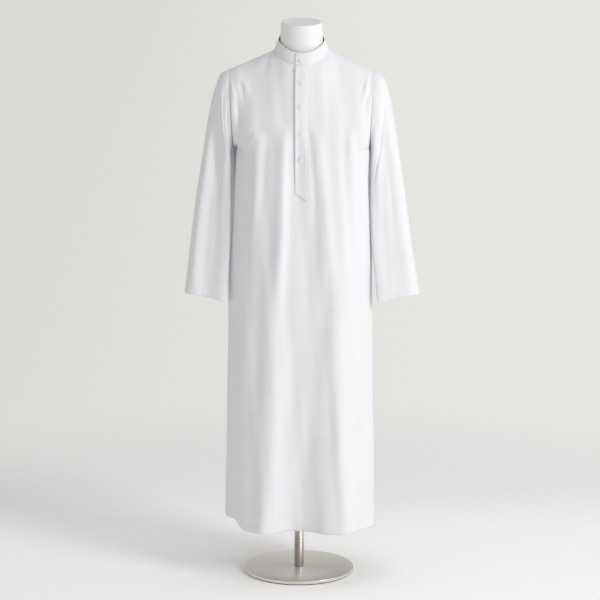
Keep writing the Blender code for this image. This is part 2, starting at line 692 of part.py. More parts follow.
def make_placket(look):
    top = row_at_height(0, NECK_FRONT.z - PLACKET_TOP_GAP)
    end = row_at_height(0, PLACKET_END_Z)
    slant = end - row_at_height(0, PLACKET_END_Z - PLACKET_SLANT)
    over_lift = LAY_GAP + PLACKET_CLOTH
    under_lift = -CLOTH - LAY_GAP
    over = strip_on_front("placket_over", PLACKET_EDGES, end, top, over_lift, slant, look)
    under = strip_on_front("placket_under", BUTTON_BAND_EDGES, end - slant, top, under_lift, 0.0, look)
    return over, under


def make_button(name, point, normal, look):
    """A dished round button lying on a face."""
    mesh = bmesh.new()
    sides = BUTTON_SIDES
    rings = []
    for reach, height in BUTTON_PROFILE:
        if reach == 0.0:
            rings.append([mesh.verts.new((0.0, 0.0, height * BUTTON_THICK))])
            continue
        turns = [2.0 * pi * k / sides for k in range(sides)]
        radius = reach * BUTTON_RADIUS
        rise = height * BUTTON_THICK
        rings.append([mesh.verts.new((radius * cos(t), radius * sin(t), rise)) for t in turns])
    for low, high in zip(rings, rings[1:]):
        for k in range(sides):
            n = (k + 1) % sides
            corners = (low[k % len(low)], low[n % len(low)], high[n % len(high)], high[k % len(high)])
            mesh.faces.new(list(dict.fromkeys(corners)))
    made = finish_mesh(name, mesh, look)
    made.rotation_mode = "QUATERNION"
    made.rotation_quaternion = normal.to_track_quat("Z", "Y")
    made.location = point
    return made


def make_buttons(look):
    start, end = collar_ends()
    place = collar_point(BUTTON_TURN, COLLAR_BUTTON_HEIGHT)
    outward = Vector((place.x, place.y, 0.0))
    limits = (start, end, 0.0, 1.0)
    normal = face_normal(collar_point, BUTTON_TURN, COLLAR_BUTTON_HEIGHT, COLLAR_STEPS, limits, outward)
    make_button("button_1", place + normal * BUTTON_CLEAR, normal, look)
    for number, height in enumerate(BUTTON_HEIGHTS, start=2):
        row = row_at_height(0.0, height)
        column = column_across(BUTTON_X)
        normal = panel_normal(-1, column, row)
        place = panel_point(-1, column, row) + normal * (LAY_GAP + PLACKET_CLOTH + BUTTON_CLEAR)
        make_button(f"button_{number}", place, normal, look)


def ring_solid(name, rings, look, sharp=40.0):
    """A closed solid through rings of points, or single points where it is pointed or flat."""
    mesh = bmesh.new()
    made = [[mesh.verts.new(p) for p in ring] for ring in rings]
    for low, high in zip(made, made[1:]):
        count = max(len(low), len(high))
        for k in range(count):
            n = (k + 1) % count
            corners = (low[k % len(low)], low[n % len(low)], high[n % len(high)], high[k % len(high)])
            mesh.faces.new(list(dict.fromkeys(corners)))
    return finish_mesh(name, mesh, look, sharp)


def turned(radius, height, sides=ROUND_SIDES):
    if radius == 0.0:
        return [Vector((0.0, 0.0, height))]
    turns = [2.0 * pi * k / sides for k in range(sides)]
    return [Vector((radius * sin(t), -radius * cos(t), height)) for t in turns]


def make_form(look):
    """The torso with its neck block: level sections, a tilted round top and a socket for the pole."""
    angles = [360.0 * k / FORM_SIDES for k in range(FORM_SIDES)]
    floor = FORM_RINGS[0].height
    rings = [
        turned(0.0, floor + SOCKET_DEPTH),
        turned(SOCKET_RADIUS, floor + SOCKET_DEPTH, FORM_SIDES),
        turned(SOCKET_RADIUS, floor, FORM_SIDES),
    ]
    rings += [[ring_point(ring, angle)[0] for angle in angles] for ring in FORM_RINGS]
    for step in range(NECK_ROUND_STEPS + 1):
        turn = radians(90.0 * step / NECK_ROUND_STEPS)
        radius = NECK_TOP_RADIUS - NECK_TOP_ROUND * (1.0 - cos(turn))
        rise = NECK_TOP_Z - NECK_TOP_ROUND * (1.0 - sin(turn))
        tilt = sin(NECK_TILT)
        rings.append([Vector((p.x, p.y, p.z + p.y * tilt)) for p in turned(radius, rise, FORM_SIDES)])
    rings.append([Vector((0.0, 0.0, NECK_TOP_Z))])
    return ring_solid("form_torso", rings, look)


def make_stand(steel, rubber):
    thick = PAD_THICK - FIT_GAP
    pad = [turned(0.0, 0.0), turned(PAD_RADIUS, 0.0), turned(PAD_RADIUS, thick), turned(0.0, thick)]
    ring_solid("base_pad", pad, rubber)
    low, high = PAD_THICK, PAD_THICK + BASE_THICK
    base = [turned(0.0, low)]
    for step in range(ROUND_STEPS + 1):
        turn = radians(-90.0 + 180.0 * step / ROUND_STEPS)
        middle = (low + BASE_ROUND) if turn < 0 else (high - BASE_ROUND)
        base.append(turned(BASE_RADIUS - BASE_ROUND * (1.0 - cos(turn)), middle + BASE_ROUND * sin(turn)))
    base.append(turned(0.0, high))
    ring_solid("form_base", base, steel)
    foot = high + FIT_GAP
    top = FORM_RINGS[0].height + SOCKET_DEPTH - 2.0 * FIT_GAP
    corners = ((0.0, foot), (POLE_RADIUS, foot), (POLE_RADIUS, top), (0.0, top))
    ring_solid("form_pole", [turned(radius, height, POLE_SIDES) for radius, height in corners], steel)


def main():
    clear_scene()
    cotton = material("white_cotton", (0.82, 0.815, 0.83), 0.85)
    pearl = material("white_button", (0.86, 0.86, 0.85), 0.35)
    fibreglass = material("form_white", (0.86, 0.86, 0.86), 0.55)
    steel = material("brushed_steel", (0.58, 0.56, 0.53), 0.32, 1.0)
    rubber = material("dark_rubber", (0.05, 0.05, 0.05), 0.8)
    make_panels(cotton)
    make_sleeve("sleeve_left", 1, LEFT_SLEEVE_FOLDS, cotton)
    make_sleeve("sleeve_right", -1, RIGHT_SLEEVE_FOLDS, cotton)
    make_collar(cotton)
    make_placket(cotton)
    make_buttons(pearl)
    make_form(fibreglass)
    make_stand(steel, rubber)


main()
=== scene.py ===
"""Looks for the thobe on its dress form: cloth with creases, seams and stitching, a smooth white form and a
brushed steel stand. Metres, +Z up, the wearer faces -Y. The cloth follows nearly the same tables as the
frame's solids, with finer grids and with creases pressed into them."""

from collections import namedtuple
from functools import partial
from math import asin, cos, degrees, pi, radians, sin, sqrt

import bmesh
import bpy
import numpy as np
from mathutils import Matrix, Vector


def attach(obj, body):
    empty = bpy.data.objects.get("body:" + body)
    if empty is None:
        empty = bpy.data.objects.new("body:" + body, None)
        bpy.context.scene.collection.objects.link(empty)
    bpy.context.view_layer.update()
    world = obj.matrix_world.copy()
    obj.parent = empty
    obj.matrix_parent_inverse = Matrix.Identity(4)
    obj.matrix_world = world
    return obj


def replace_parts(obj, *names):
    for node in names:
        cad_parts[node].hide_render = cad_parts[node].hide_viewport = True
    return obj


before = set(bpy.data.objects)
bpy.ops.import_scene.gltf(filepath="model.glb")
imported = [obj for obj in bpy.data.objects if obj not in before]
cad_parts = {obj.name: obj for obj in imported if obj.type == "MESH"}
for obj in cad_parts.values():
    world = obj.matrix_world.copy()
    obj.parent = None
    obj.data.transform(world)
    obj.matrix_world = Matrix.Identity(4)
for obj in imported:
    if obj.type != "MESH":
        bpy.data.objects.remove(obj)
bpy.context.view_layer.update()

# --- The robe's form ---

# How thick the cloth is, and the gaps between pieces that lie on each other
CLOTH, COLLAR_CLOTH, PLACKET_CLOTH = 0.0014, 0.0019, 0.0011
COLLAR_GAP = 0.0002
LAY_GAP = 0.00015

HEM_Z = 0.150
UNDERARM_Z = 1.262

# The hem hangs a little higher on one side: how far, where in degrees, and over what width it fades
HEM_RISE = 0.024
HEM_RISE_MIDDLE, HEM_RISE_WHOLE = -85.0, 19.0
HEM_RISE_FADE_FRONT, HEM_RISE_FADE_BACK = 24.0, 38.0

# Level sections of the robe. Their points are spread as on an oval of this squareness.
RING_SPREAD = 2.4
Ring = namedtuple("Ring", "height half_width front back squareness")
BODY_RINGS = [Ring(*row) for row in (
    (0.15, 0.216, 0.15, 0.152, 2.4),
    (0.33, 0.2135, 0.147, 0.148, 2.4),
    (0.57, 0.2105, 0.142, 0.142, 2.4),
    (0.81, 0.206, 0.137, 0.134, 2.45),
    (0.93, 0.2015, 0.135, 0.127, 2.55),
    (1.05, 0.1945, 0.133, 0.117, 2.65),
    (1.162, 0.1898, 0.131, 0.112, 2.75),
    (1.262, 0.1935, 0.128, 0.113, 2.8),
)]

# The big folds hang from the chest or the back: where each starts, its width in degrees, and its angle and
# depth at three levels
CHEST_LEVEL, KNEE_LEVEL = 1.10, 0.62
SHORTEST_FADE = 0.25
Fold = namedtuple("Fold", "start width chest_at chest knee_at knee hem_at hem")
HANGING_FOLDS = [Fold(*row) for row in (
    (1.1, 14, -1, 0, -1, -0.015, -1.4, -0.041),
    (1.36, 10.5, -20, 0.008, -19.5, 0.009, -25.5, 0.014),
    (1.34, 9, -36, 0.005, -37, 0, -38, 0),
    (1.3, 14, -62, 0, -62, -0.004, -61, -0.01),
    (1.36, 7, 8, -0.004, 9, -0.002, 9, 0),
    (1.34, 12.5, 29, 0.008, 30, 0.01, 31, 0.018),
    (1.34, 8, 53, -0.004, 53, -0.002, 54, 0.003),
    (1, 14, 76, 0, 76, 0.002, 75, 0.006),
    (1.25, 11, 84, 0.0035, 83, 0.001, 83, 0),
    (1.5, 9.5, 108, 0.025, 106, 0.003, 104, 0.002),
    (1.5, 9.5, -108, 0.025, -106, 0.004, -104, 0.003),
    (1.2, 13, 118, 0, 120, -0.008, 122, -0.022),
    (1.34, 11, 146, 0.004, 148, 0.008, 150, 0.014),
    (1.24, 12, 172, -0.003, 173, -0.014, 174, -0.04),
    (1.34, 12, -158, 0.004, -160, 0.009, -157, 0.016),
    (1.2, 13, -130, 0, -132, -0.008, -131, -0.024),
)]

# Corners of the neckline, the shoulder seam and the armhole on the +X side, and how the cloth sets off there
NECK = np.array((0.077, 0.0, 1.536))
NECK_FRONT = np.array((0.0, -0.080, 1.5035))
NECK_BACK = np.array((0.0, 0.070, 1.561))
SHOULDER = np.array((0.2055, 0.0, 1.4796))
UNDERARM_X = 0.1935
ARMHOLE_HALF_DEPTH = 0.070
NECK_EASE = 0.55
NECKLINE_REACH, CORNER_REACH, SHOULDER_REACH = 0.040, 0.080, 0.093
CORNER_TURN = 32.0
CHEST_LIFT = 0.110
SPREAD_FROM = 0.35
CENTRE_FALL_FRONT, CENTRE_FALL_BACK = 1.35, 1.15
ELLIPSE_HANDLE = 4.0 / 3.0

# Columns of a panel: its middle is 0, and these are the edge of the placket's opening, the corner of the neck
# and the side seam
OPENING_COLUMN, NECK_COLUMN, LAST_COLUMN = 1, 7, 17
PLACKET_HALF_OPENING = 0.0135
OPENING_BOTTOM_Z = 1.148

# Sections of a sleeve from the armhole to the cuff, each from its outer edge to its inner edge
Sleeve = namedtuple("Sleeve", "out_x out_z in_x in_z mid_y half_depth lift swing")
SLEEVE_SECTIONS = [Sleeve(*row) for row in (
    (0.206, 1.4796, 0.194, 1.262, 0.0, 0.07, 0.0, 0.0),
    (0.2225, 1.4722, 0.1958, 1.254, 0.0, 0.0715, 0.0, 0.0),
    (0.2355, 1.4575, 0.1972, 1.244, 0.0, 0.073, 0.0, 0.0),
    (0.245, 1.432, 0.1985, 1.233, 0.001, 0.074, 0.0, 0.0),
    (0.2545, 1.394, 0.199, 1.218, 0.003, 0.072, 0.0, 0.0),
    (0.2668, 1.333, 0.1992, 1.194, 0.005, 0.0685, 0.0, 0.0),
    (0.278, 1.262, 0.199, 1.16, 0.004, 0.064, 0.0, 0.0),
    (0.2905, 1.18, 0.199, 1.112, 0.0, 0.06, 0.001, 0.0),
    (0.3035, 1.09, 0.201, 1.043, -0.006, 0.056, 0.002, 0.0),
    (0.316, 1.0, 0.2042, 0.964, -0.01, 0.0525, 0.0035, 0.001),
    (0.327, 0.917, 0.2105, 0.891, -0.014, 0.049, 0.005, 0.003),
    (0.3375, 0.8355, 0.2172, 0.818, -0.02, 0.046, 0.0065, 0.005),
)]

LAST_SECTION = len(SLEEVE_SECTIONS) - 1
# The sleeves hang flat and a little turned: the half next to the body leads forward of the outer half. How
# far at the inner edge on the +X (1) and the -X side, the share of the width where it starts and how it grows
SLEEVE_LEAD = {1: 0.044, -1: 0.048}
LEAD_FROM, LEAD_POWER = 0.38, 1.5
# The share of its depth the inner half loses, and the section from which the sleeve is wholly flat
INNER_THIN = 0.5
FLAT_AT = 5.0

COLLAR_TOP_SIDE = np.array((0.066, 0.0, 1.568))
COLLAR_TOP_FRONT = np.array((0.0, -0.0725, 1.538))
COLLAR_TOP_BACK = np.array((0.0, 0.0645, 1.595))
COLLAR_LAP = 0.0014
COLLAR_LAP_LENGTH, COLLAR_LAP_FADE = 24.0, 30.0
COLLAR_BULGE = 0.0009

# Left and right edges of the two bands of the placket, and the slanted lower end of the upper one
PLACKET_EDGES = (-0.0173, 0.0155)
BUTTON_BAND_EDGES = (-0.0185, 0.0155)
PLACKET_TOP_GAP = 0.0006
PLACKET_SLANT = 0.020
PLACKET_END_Z = 1.143

# Level sections of the dress form, from its lower end to just below the top of the neck
FORM_RINGS = [Ring(*row) for row in (
    (0.78, 0.15, 0.098, 0.098, 2.3),
    (0.786, 0.157, 0.105, 0.105, 2.3),
    (0.8, 0.162, 0.11, 0.11, 2.3),
    (0.88, 0.166, 0.114, 0.113, 2.3),
    (1.0, 0.156, 0.108, 0.098, 2.3),
    (1.09, 0.15, 0.106, 0.09, 2.3),
    (1.18, 0.158, 0.11, 0.094, 2.3),
    (1.262, 0.169, 0.112, 0.098, 2.3),
    (1.33, 0.179, 0.111, 0.099, 2.2),
    (1.38, 0.186, 0.101, 0.089, 2.0),
    (1.42, 0.189, 0.086, 0.074, 1.75),
    (1.45, 0.188, 0.071, 0.06, 1.48),
    (1.47, 0.181, 0.063, 0.056, 1.3),
    (1.488, 0.157, 0.061, 0.057, 1.22),
    (1.502, 0.126, 0.0605, 0.058, 1.22),
    (1.515, 0.097, 0.0605, 0.06, 1.4),
    (1.527, 0.076, 0.0605, 0.0605, 1.7),
    (1.54, 0.066, 0.0605, 0.0605, 2.0),
    (1.56, 0.061, 0.0605, 0.0605, 2.0),
    (1.59, 0.0592, 0.0592, 0.0592, 2.0),
)]


def smooth_step(value):
    value = np.clip(value, 0.0, 1.0)
    return value * value * (3.0 - 2.0 * value)


def wave(distance, width):
    """A soft swell, 1 in its middle and nothing past twice its width."""
    reach = np.minimum(np.abs(distance) / (2.0 * width), 1.0)
    return (0.5 + 0.5 * np.cos(pi * reach)) ** 2


def through_rows(rows, places, at):
    """The rows' columns at the places `at`, on smooth curves through the rows."""
    table, places = np.array(rows, float), np.array(places, float)
    last = len(table) - 1
    before, after = np.maximum(np.arange(last + 1) - 1, 0), np.minimum(np.arange(last + 1) + 1, last)
    slopes = (table[after] - table[before]) / (places[after] - places[before])[:, None]
    at = np.clip(at, places[0], places[-1])
    i = np.clip(np.searchsorted(places, at, side="right") - 1, 0, last - 1)
    span = (places[i + 1] - places[i])[..., None]
    t = (at - places[i])[..., None] / span
    rise = table[i + 1] - table[i]
    start, end = slopes[i] * span, slopes[i + 1] * span
    curve = ((start + end - 2 * rise) * t + 3 * rise - 2 * start - end) * t + start
    return table[i] + curve * t


def through_levels(height, chest, knee, hem):
    """A parabola through the values at the three levels."""
    a = (height - KNEE_LEVEL) * (height - HEM_Z) / ((CHEST_LEVEL - KNEE_LEVEL) * (CHEST_LEVEL - HEM_Z))
    b = (height - CHEST_LEVEL) * (height - HEM_Z) / ((KNEE_LEVEL - CHEST_LEVEL) * (KNEE_LEVEL - HEM_Z))
    c = (height - CHEST_LEVEL) * (height - KNEE_LEVEL) / ((HEM_Z - CHEST_LEVEL) * (HEM_Z - KNEE_LEVEL))
    return a * chest + b * knee + c * hem


def turn_apart(angle, middle):
    """Degrees from the middle to the angle, between -180 and 180."""
    return (angle - middle + 180.0) % 360.0 - 180.0


def hanging_folds(angle, height):
    total = 0.0
    level = np.minimum(height, CHEST_LEVEL)
    for fold in HANGING_FOLDS:
        middle = through_levels(level, fold.chest_at, fold.knee_at, fold.hem_at)
        depth = through_levels(level, fold.chest, fold.knee, fold.hem)
        fade = smooth_step((fold.start - height) / max(fold.start - CHEST_LEVEL, SHORTEST_FADE))
        total = total + depth * fade * wave(turn_apart(angle, middle), fold.width)
    return total


def unit(vectors):
    return vectors / np.maximum(np.linalg.norm(vectors, axis=-1, keepdims=True), 1e-12)


def ring_points(rings, angle, height, out=0.0):
    """Points round level sections, moved out by `out`, and the level directions that point out."""
    cut = through_rows(rings, [ring.height for ring in rings], height)
    half_width, front, back, squareness = (cut[..., k] for k in (1, 2, 3, 4))
    turn = np.radians(angle)
    across = np.abs(np.sin(turn)) ** (2.0 / RING_SPREAD)
    ahead = np.maximum(1.0 - across ** squareness, 0.0) ** (1.0 / squareness)
    side = np.where(np.sin(turn) >= 0, 1.0, -1.0)
    facing = np.where(np.cos(turn) > 0, -1.0, 1.0)
    depth = np.where(facing < 0, front, back)
    steep = squareness - 1.0
    flat = np.zeros_like(across)
    normal = unit(np.stack((side * across ** steep / half_width, facing * ahead ** steep / depth, flat), -1))
    point = np.stack((side * across * half_width, facing * ahead * depth, height + flat), -1)
    return point + normal * np.asarray(out)[..., None], normal


def angle_across(x):
    return np.degrees(np.arcsin((x / UNDERARM_X) ** (RING_SPREAD / 2.0)))


def column_angle(column):
    """The ring angle of a column, counted from the middle of the front or the back."""
    first = angle_across(PLACKET_HALF_OPENING)
    near = angle_across(PLACKET_HALF_OPENING * np.clip(column, 0.0, 1.0))
    rest = first + (90.0 - first) * (column - OPENING_COLUMN) / (LAST_COLUMN - OPENING_COLUMN)
    return np.where(column <= OPENING_COLUMN, near, rest)


def column_across(x):
    """The column of the front panel that lies at this x at the underarm level."""
    if abs(x) <= PLACKET_HALF_OPENING:
        return x / PLACKET_HALF_OPENING
    first = angle_across(PLACKET_HALF_OPENING)
    share = (angle_across(abs(x)) - first) / (90.0 - first)
    return float(np.sign(x) * (OPENING_COLUMN + share * (LAST_COLUMN - OPENING_COLUMN)))


def neck_ring(angle, side, front, back):
    """A tilted oval through three points: angle 0 is its front and 90 is +X."""
    turn = np.radians(angle)
    c = np.cos(turn)
    ahead = np.abs(c)
    drop = ahead * (NECK_EASE + (1.0 - NECK_EASE) * ahead)
    end = np.where(c[..., None] > 0, front, back)
    height = side[2] + (end[..., 2] - side[2]) * drop
    return np.stack((side[0] * np.sin(turn), end[..., 1] * ahead, height), -1)


def bezier(a, b, c, d, t):
    u = 1.0 - t
    return a * u ** 3 + b * (3 * u * u * t) + c * (3 * u * t * t) + d * t ** 3


def column_tops(column, facing):
    """The top ends of columns on the neckline or the shoulder seam, and the way their cloth sets off."""
    first = degrees(asin(PLACKET_HALF_OPENING / NECK[0]))
    rest = first + (90.0 - first) * (column - OPENING_COLUMN) / (NECK_COLUMN - OPENING_COLUMN)
    middle = np.degrees(np.arcsin(PLACKET_HALF_OPENING * np.clip(column, 0, 1) / NECK[0]))
    on_neck = column < NECK_COLUMN
    angle = np.where(on_neck, np.where(column <= OPENING_COLUMN, middle, rest), 90.0)
    start = NECK_FRONT if facing < 0 else NECK_BACK
    share = np.where(on_neck, 0.0, (column - NECK_COLUMN) / (LAST_COLUMN - NECK_COLUMN))
    on_shoulder = NECK + (SHOULDER - NECK) * share[..., None]
    top = np.where(on_neck[..., None], neck_ring(angle, NECK, start, start), on_shoulder)
    turn = np.radians(CORNER_TURN * np.where(on_neck, angle / 90.0, 1.0 - share))
    neck_reach = NECKLINE_REACH + (CORNER_REACH - NECKLINE_REACH) * (angle / 90.0) ** 2
    reach = np.where(on_neck, neck_reach, CORNER_REACH + (SHOULDER_REACH - CORNER_REACH) * share)
    out, ahead = np.sin(turn) * reach, np.cos(turn) * reach
    shoulder_fall = (SHOULDER[2] - NECK[2]) / (SHOULDER[0] - NECK[0])
    neck_fall = (NECK_FRONT[2] - NECK[2]) / -NECK_FRONT[1] * NECK_EASE * (1.0 - share) if facing < 0 else 0.0
    at_neck = np.cos(np.radians(angle))
    centre_fall = -CENTRE_FALL_FRONT if facing < 0 else -CENTRE_FALL_BACK
    fall = (shoulder_fall * out + neck_fall * ahead) * (1.0 - at_neck) + centre_fall * ahead * at_neck
    return top, np.stack((out, facing * ahead, fall), -1)


def hem_height(angle):
    apart = turn_apart(angle, HEM_RISE_MIDDLE)
    fade = np.where(apart > 0, HEM_RISE_FADE_FRONT, HEM_RISE_FADE_BACK)
    return HEM_Z + HEM_RISE * (1.0 - smooth_step((np.abs(apart) - HEM_RISE_WHOLE) / fade))


def panel_angle(facing, column):
    """The ring angle of a column of the front (facing -1) or back (+1) panel."""
    angle = column_angle(np.abs(column)) * np.where(column < 0, -1.0, 1.0)
    return 180.0 - angle if facing > 0 else angle


def yoke(facing, column, row):
    """The cloth above the underarm level, on a curve up each column."""
    side = np.where(column < 0, -1.0, 1.0)
    angle = panel_angle(facing, column)
    flip = side[..., None] ** np.array((1, 0, 0))
    bottom = ring_points(BODY_RINGS, angle, np.full(np.shape(column), UNDERARM_Z))[0] * flip
    top, away = column_tops(np.abs(column), facing)
    spread = smooth_step((np.abs(column) / LAST_COLUMN - SPREAD_FROM) / (1.0 - SPREAD_FROM))
    ahead = facing * ARMHOLE_HALF_DEPTH * ELLIPSE_HANDLE * spread
    handle = np.stack((0 * spread, ahead, CHEST_LIFT * (1.0 - spread)), -1)
    t = np.clip(row - 1.0, 0.0, 1.0)[..., None]
    return bezier(bottom, bottom + handle, top + away, top, t) * flip


# The chest's cloth is evened out over these columns on each side, between these rows and away from its seams
EVEN_OVER = np.linspace(-3.0, 3.0, 9)
EVEN_WIDTH = 1.6
EVEN_FROM, EVEN_TO, EVEN_FADE = 1.02, 1.99, 0.25
EVEN_SIDE = 4.0


def plain_panel(facing, column, row):
    """The front (facing -1) or back (+1) panel with its big folds. Rows run from 0 at the hem to 1 at the
    underarm and 2 at the neckline and shoulder seams."""
    column, row = np.broadcast_arrays(np.asarray(column, float), np.asarray(row, float))
    angle = panel_angle(facing, column)
    hem = hem_height(angle)
    height = hem + (UNDERARM_Z - hem) * np.minimum(row, 1.0)
    low = ring_points(BODY_RINGS, angle, height, hanging_folds(angle, height))[0]

    flat = ring_points(BODY_RINGS, angle, np.full_like(height, UNDERARM_Z))[1]
    high = yoke(facing, column, row)
    calm = smooth_step((row - EVEN_FROM) / EVEN_FADE) * smooth_step((EVEN_TO - row) / EVEN_FADE)
    calm = calm * smooth_step((LAST_COLUMN - np.abs(column)) / EVEN_SIDE)
    if np.any(calm > 0.0):
        shares = np.exp(-0.5 * (EVEN_OVER / EVEN_WIDTH) ** 2)
        even = 0.0
        for shift, share in zip(EVEN_OVER, shares / shares.sum()):
            even = even + yoke(facing, np.clip(column + shift, -LAST_COLUMN, LAST_COLUMN), row) * share
        high = high + (even - high) * np.array((0.0, 1.0, 1.0)) * calm[..., None]
    out = hanging_folds(angle, high[..., 2]) * (1.0 - smooth_step(2.0 * row - 3.0))
    high = high + flat * out[..., None]
    return np.where((row <= 1.0)[..., None], low, high)


# --- Creases ---

# A crease runs through three points as seen from the front, with its own width on each side, its height
# (negative for a furrow), and the shares of its length over which it rises and dies away
Crease = namedtuple("Crease", "x0 z0 x1 z1 x2 z2 left right depth rise fade")
FRONT_CREASES = [Crease(*row) for row in (
    # the long ridge beside the placket, steep towards -X, and the shorter one next to it
    (-0.047, 1.352, -0.052, 1.11, -0.0665, 0.76, 0.022, 0.0158, 0.0125, 0.14, 0.4),
    (-0.114, 1.33, -0.126, 1.16, -0.15, 0.93, 0.019, 0.015, 0.0066, 0.08, 0.5),
    (-0.124, 1.318, -0.148, 1.285, -0.17, 1.25, 0.007, 0.0095, 0.0018, 0.15, 0.7),
    # the broad ridge on the other side, with a narrow furrow down its near side
    (0.042, 1.354, 0.066, 1.11, 0.097, 0.8, 0.047, 0.02, 0.0105, 0.19, 0.4),
    (0.017, 1.345, 0.035, 1.19, 0.043, 1.0, 0.01, 0.011, -0.0036, 0.1, 0.55),
    # the ridge next to the armhole at +X
    (0.137, 1.354, 0.145, 1.15, 0.166, 0.88, 0.014, 0.016, 0.0074, 0.19, 0.45),
    # hollows beside both armholes
    (-0.176, 1.455, -0.185, 1.35, -0.189, 1.12, 0.013, 0.033, -0.0155, 0.28, 0.65),
    (0.18, 1.44, 0.185, 1.37, 0.19, 1.25, 0.026, 0.01, -0.0045, 0.25, 0.5),
    # drags from the shoulder tips and the neck
    (-0.204, 1.462, -0.198, 1.432, -0.184, 1.398, 0.006, 0.009, 0.0036, 0.2, 0.5),
    (-0.162, 1.462, -0.158, 1.44, -0.15, 1.41, 0.008, 0.011, 0.0022, 0.3, 0.5),
    (-0.172, 1.455, -0.168, 1.43, -0.164, 1.4, 0.007, 0.006, -0.0018, 0.3, 0.5),
    (0.202, 1.478, 0.196, 1.44, 0.185, 1.395, 0.006, 0.006, -0.0034, 0.2, 0.5),
    (0.188, 1.465, 0.18, 1.43, 0.17, 1.38, 0.008, 0.008, 0.0028, 0.25, 0.6),
    (0.178, 1.46, 0.174, 1.44, 0.168, 1.415, 0.007, 0.007, -0.0018, 0.3, 0.5),
    (-0.043, 1.512, -0.033, 1.5, -0.02, 1.478, 0.004, 0.005, -0.0016, 0.2, 0.4),
    # long soft ridges of the skirt
    (-0.062, 0.96, -0.07, 0.56, -0.076, 0.17, 0.02, 0.026, 0.0028, 0.25, 0.15),
    (0.0, 0.64, -0.002, 0.4, -0.004, 0.15, 0.045, 0.034, 0.0034, 0.4, 0.05),
    (0.096, 0.96, 0.108, 0.56, 0.129, 0.17, 0.019, 0.02, 0.0036, 0.25, 0.15),
    (-0.16, 1.0, -0.168, 0.7, -0.17, 0.33, 0.016, 0.02, 0.0014, 0.3, 0.3),
    (0.13, 0.9, 0.136, 0.64, 0.142, 0.3, 0.012, 0.016, -0.0016, 0.3, 0.3),
)]
BACK_CREASES = [Crease(*row) for row in (
    (-0.076, 1.35, -0.074, 1.16, -0.082, 0.9, 0.018, 0.011, 0.0075, 0.12, 0.5),
    (-0.122, 1.34, -0.134, 1.2, -0.148, 1.0, 0.015, 0.01, 0.0058, 0.14, 0.55),
    (-0.096, 1.33, -0.104, 1.15, -0.11, 0.95, 0.011, 0.012, -0.0052, 0.16, 0.6),
    (0.018, 1.33, 0.014, 1.12, 0.02, 0.86, 0.013, 0.019, -0.0052, 0.2, 0.55),
    (0.064, 1.345, 0.068, 1.16, 0.072, 0.9, 0.011, 0.02, 0.0072, 0.12, 0.5),
    (0.121, 1.335, 0.13, 1.19, 0.146, 1.01, 0.01, 0.016, 0.0061, 0.14, 0.55),
    (0.096, 1.325, 0.1, 1.17, 0.112, 0.98, 0.011, 0.01, -0.0049, 0.18, 0.6),
    (-0.203, 1.455, -0.195, 1.41, -0.18, 1.35, 0.007, 0.009, 0.0049, 0.2, 0.55),
    (0.203, 1.455, 0.196, 1.405, 0.178, 1.34, 0.009, 0.007, 0.0049, 0.2, 0.55),
    (-0.166, 1.44, -0.15, 1.4, -0.128, 1.33, 0.009, 0.009, -0.0035, 0.25, 0.55),
    (0.164, 1.44, 0.152, 1.395, 0.134, 1.32, 0.009, 0.009, -0.0032, 0.25, 0.55),
    (-0.09, 0.88, -0.086, 0.56, -0.096, 0.19, 0.026, 0.02, 0.0064, 0.25, 0.2),
    (0.084, 0.9, 0.09, 0.54, 0.1, 0.19, 0.02, 0.028, 0.0067, 0.25, 0.2),
    (0.006, 0.96, 0.002, 0.6, -0.004, 0.2, 0.026, 0.024, -0.0041, 0.3, 0.2),
)]


def crease_height(creases, x, z):
    """How far the creases move the cloth out at these places."""
    total = np.zeros_like(x)
    for crease in creases:
        along = np.array((crease.x2 - crease.x0, crease.z2 - crease.z0))
        length = np.hypot(*along)
        along = along / length
        across = np.array((-along[1], along[0]))
        place = np.stack((x - crease.x0, z - crease.z0), -1)
        share = place @ along / length
        middle = np.array((crease.x1 - crease.x0, crease.z1 - crease.z0))
        mid_share, mid_off = middle @ along / length, middle @ across
        bow = mid_off * share * (1.0 - share) / (mid_share * (1.0 - mid_share))
        off = place @ across - bow
        width = np.where(off < 0, crease.left, crease.right)
        fade = smooth_step(share / crease.rise) * smooth_step((1.0 - share) / crease.fade)
        total += crease.depth * fade * wave(off, width)
    return total


# Faint unevenness of hanging cloth: long ripples, each with its pitch along x and z, its phase and its height
RIPPLES = (
    (0.083, 0.61, 0.4, 0.0006),
    (0.061, -0.47, 1.9, 0.00045),
    (0.047, 0.9, 3.1, 0.0003),
    (0.12, -0.31, 4.6, 0.00055),
    (0.034, 0.39, 5.5, 0.00018),
)


def ripple_height(x, z):
    total = 0.0
    for pitch_x, pitch_z, phase, height in RIPPLES:
        total = total + height * np.sin(2 * pi * (x / pitch_x + z / pitch_z) + phase)
    return total


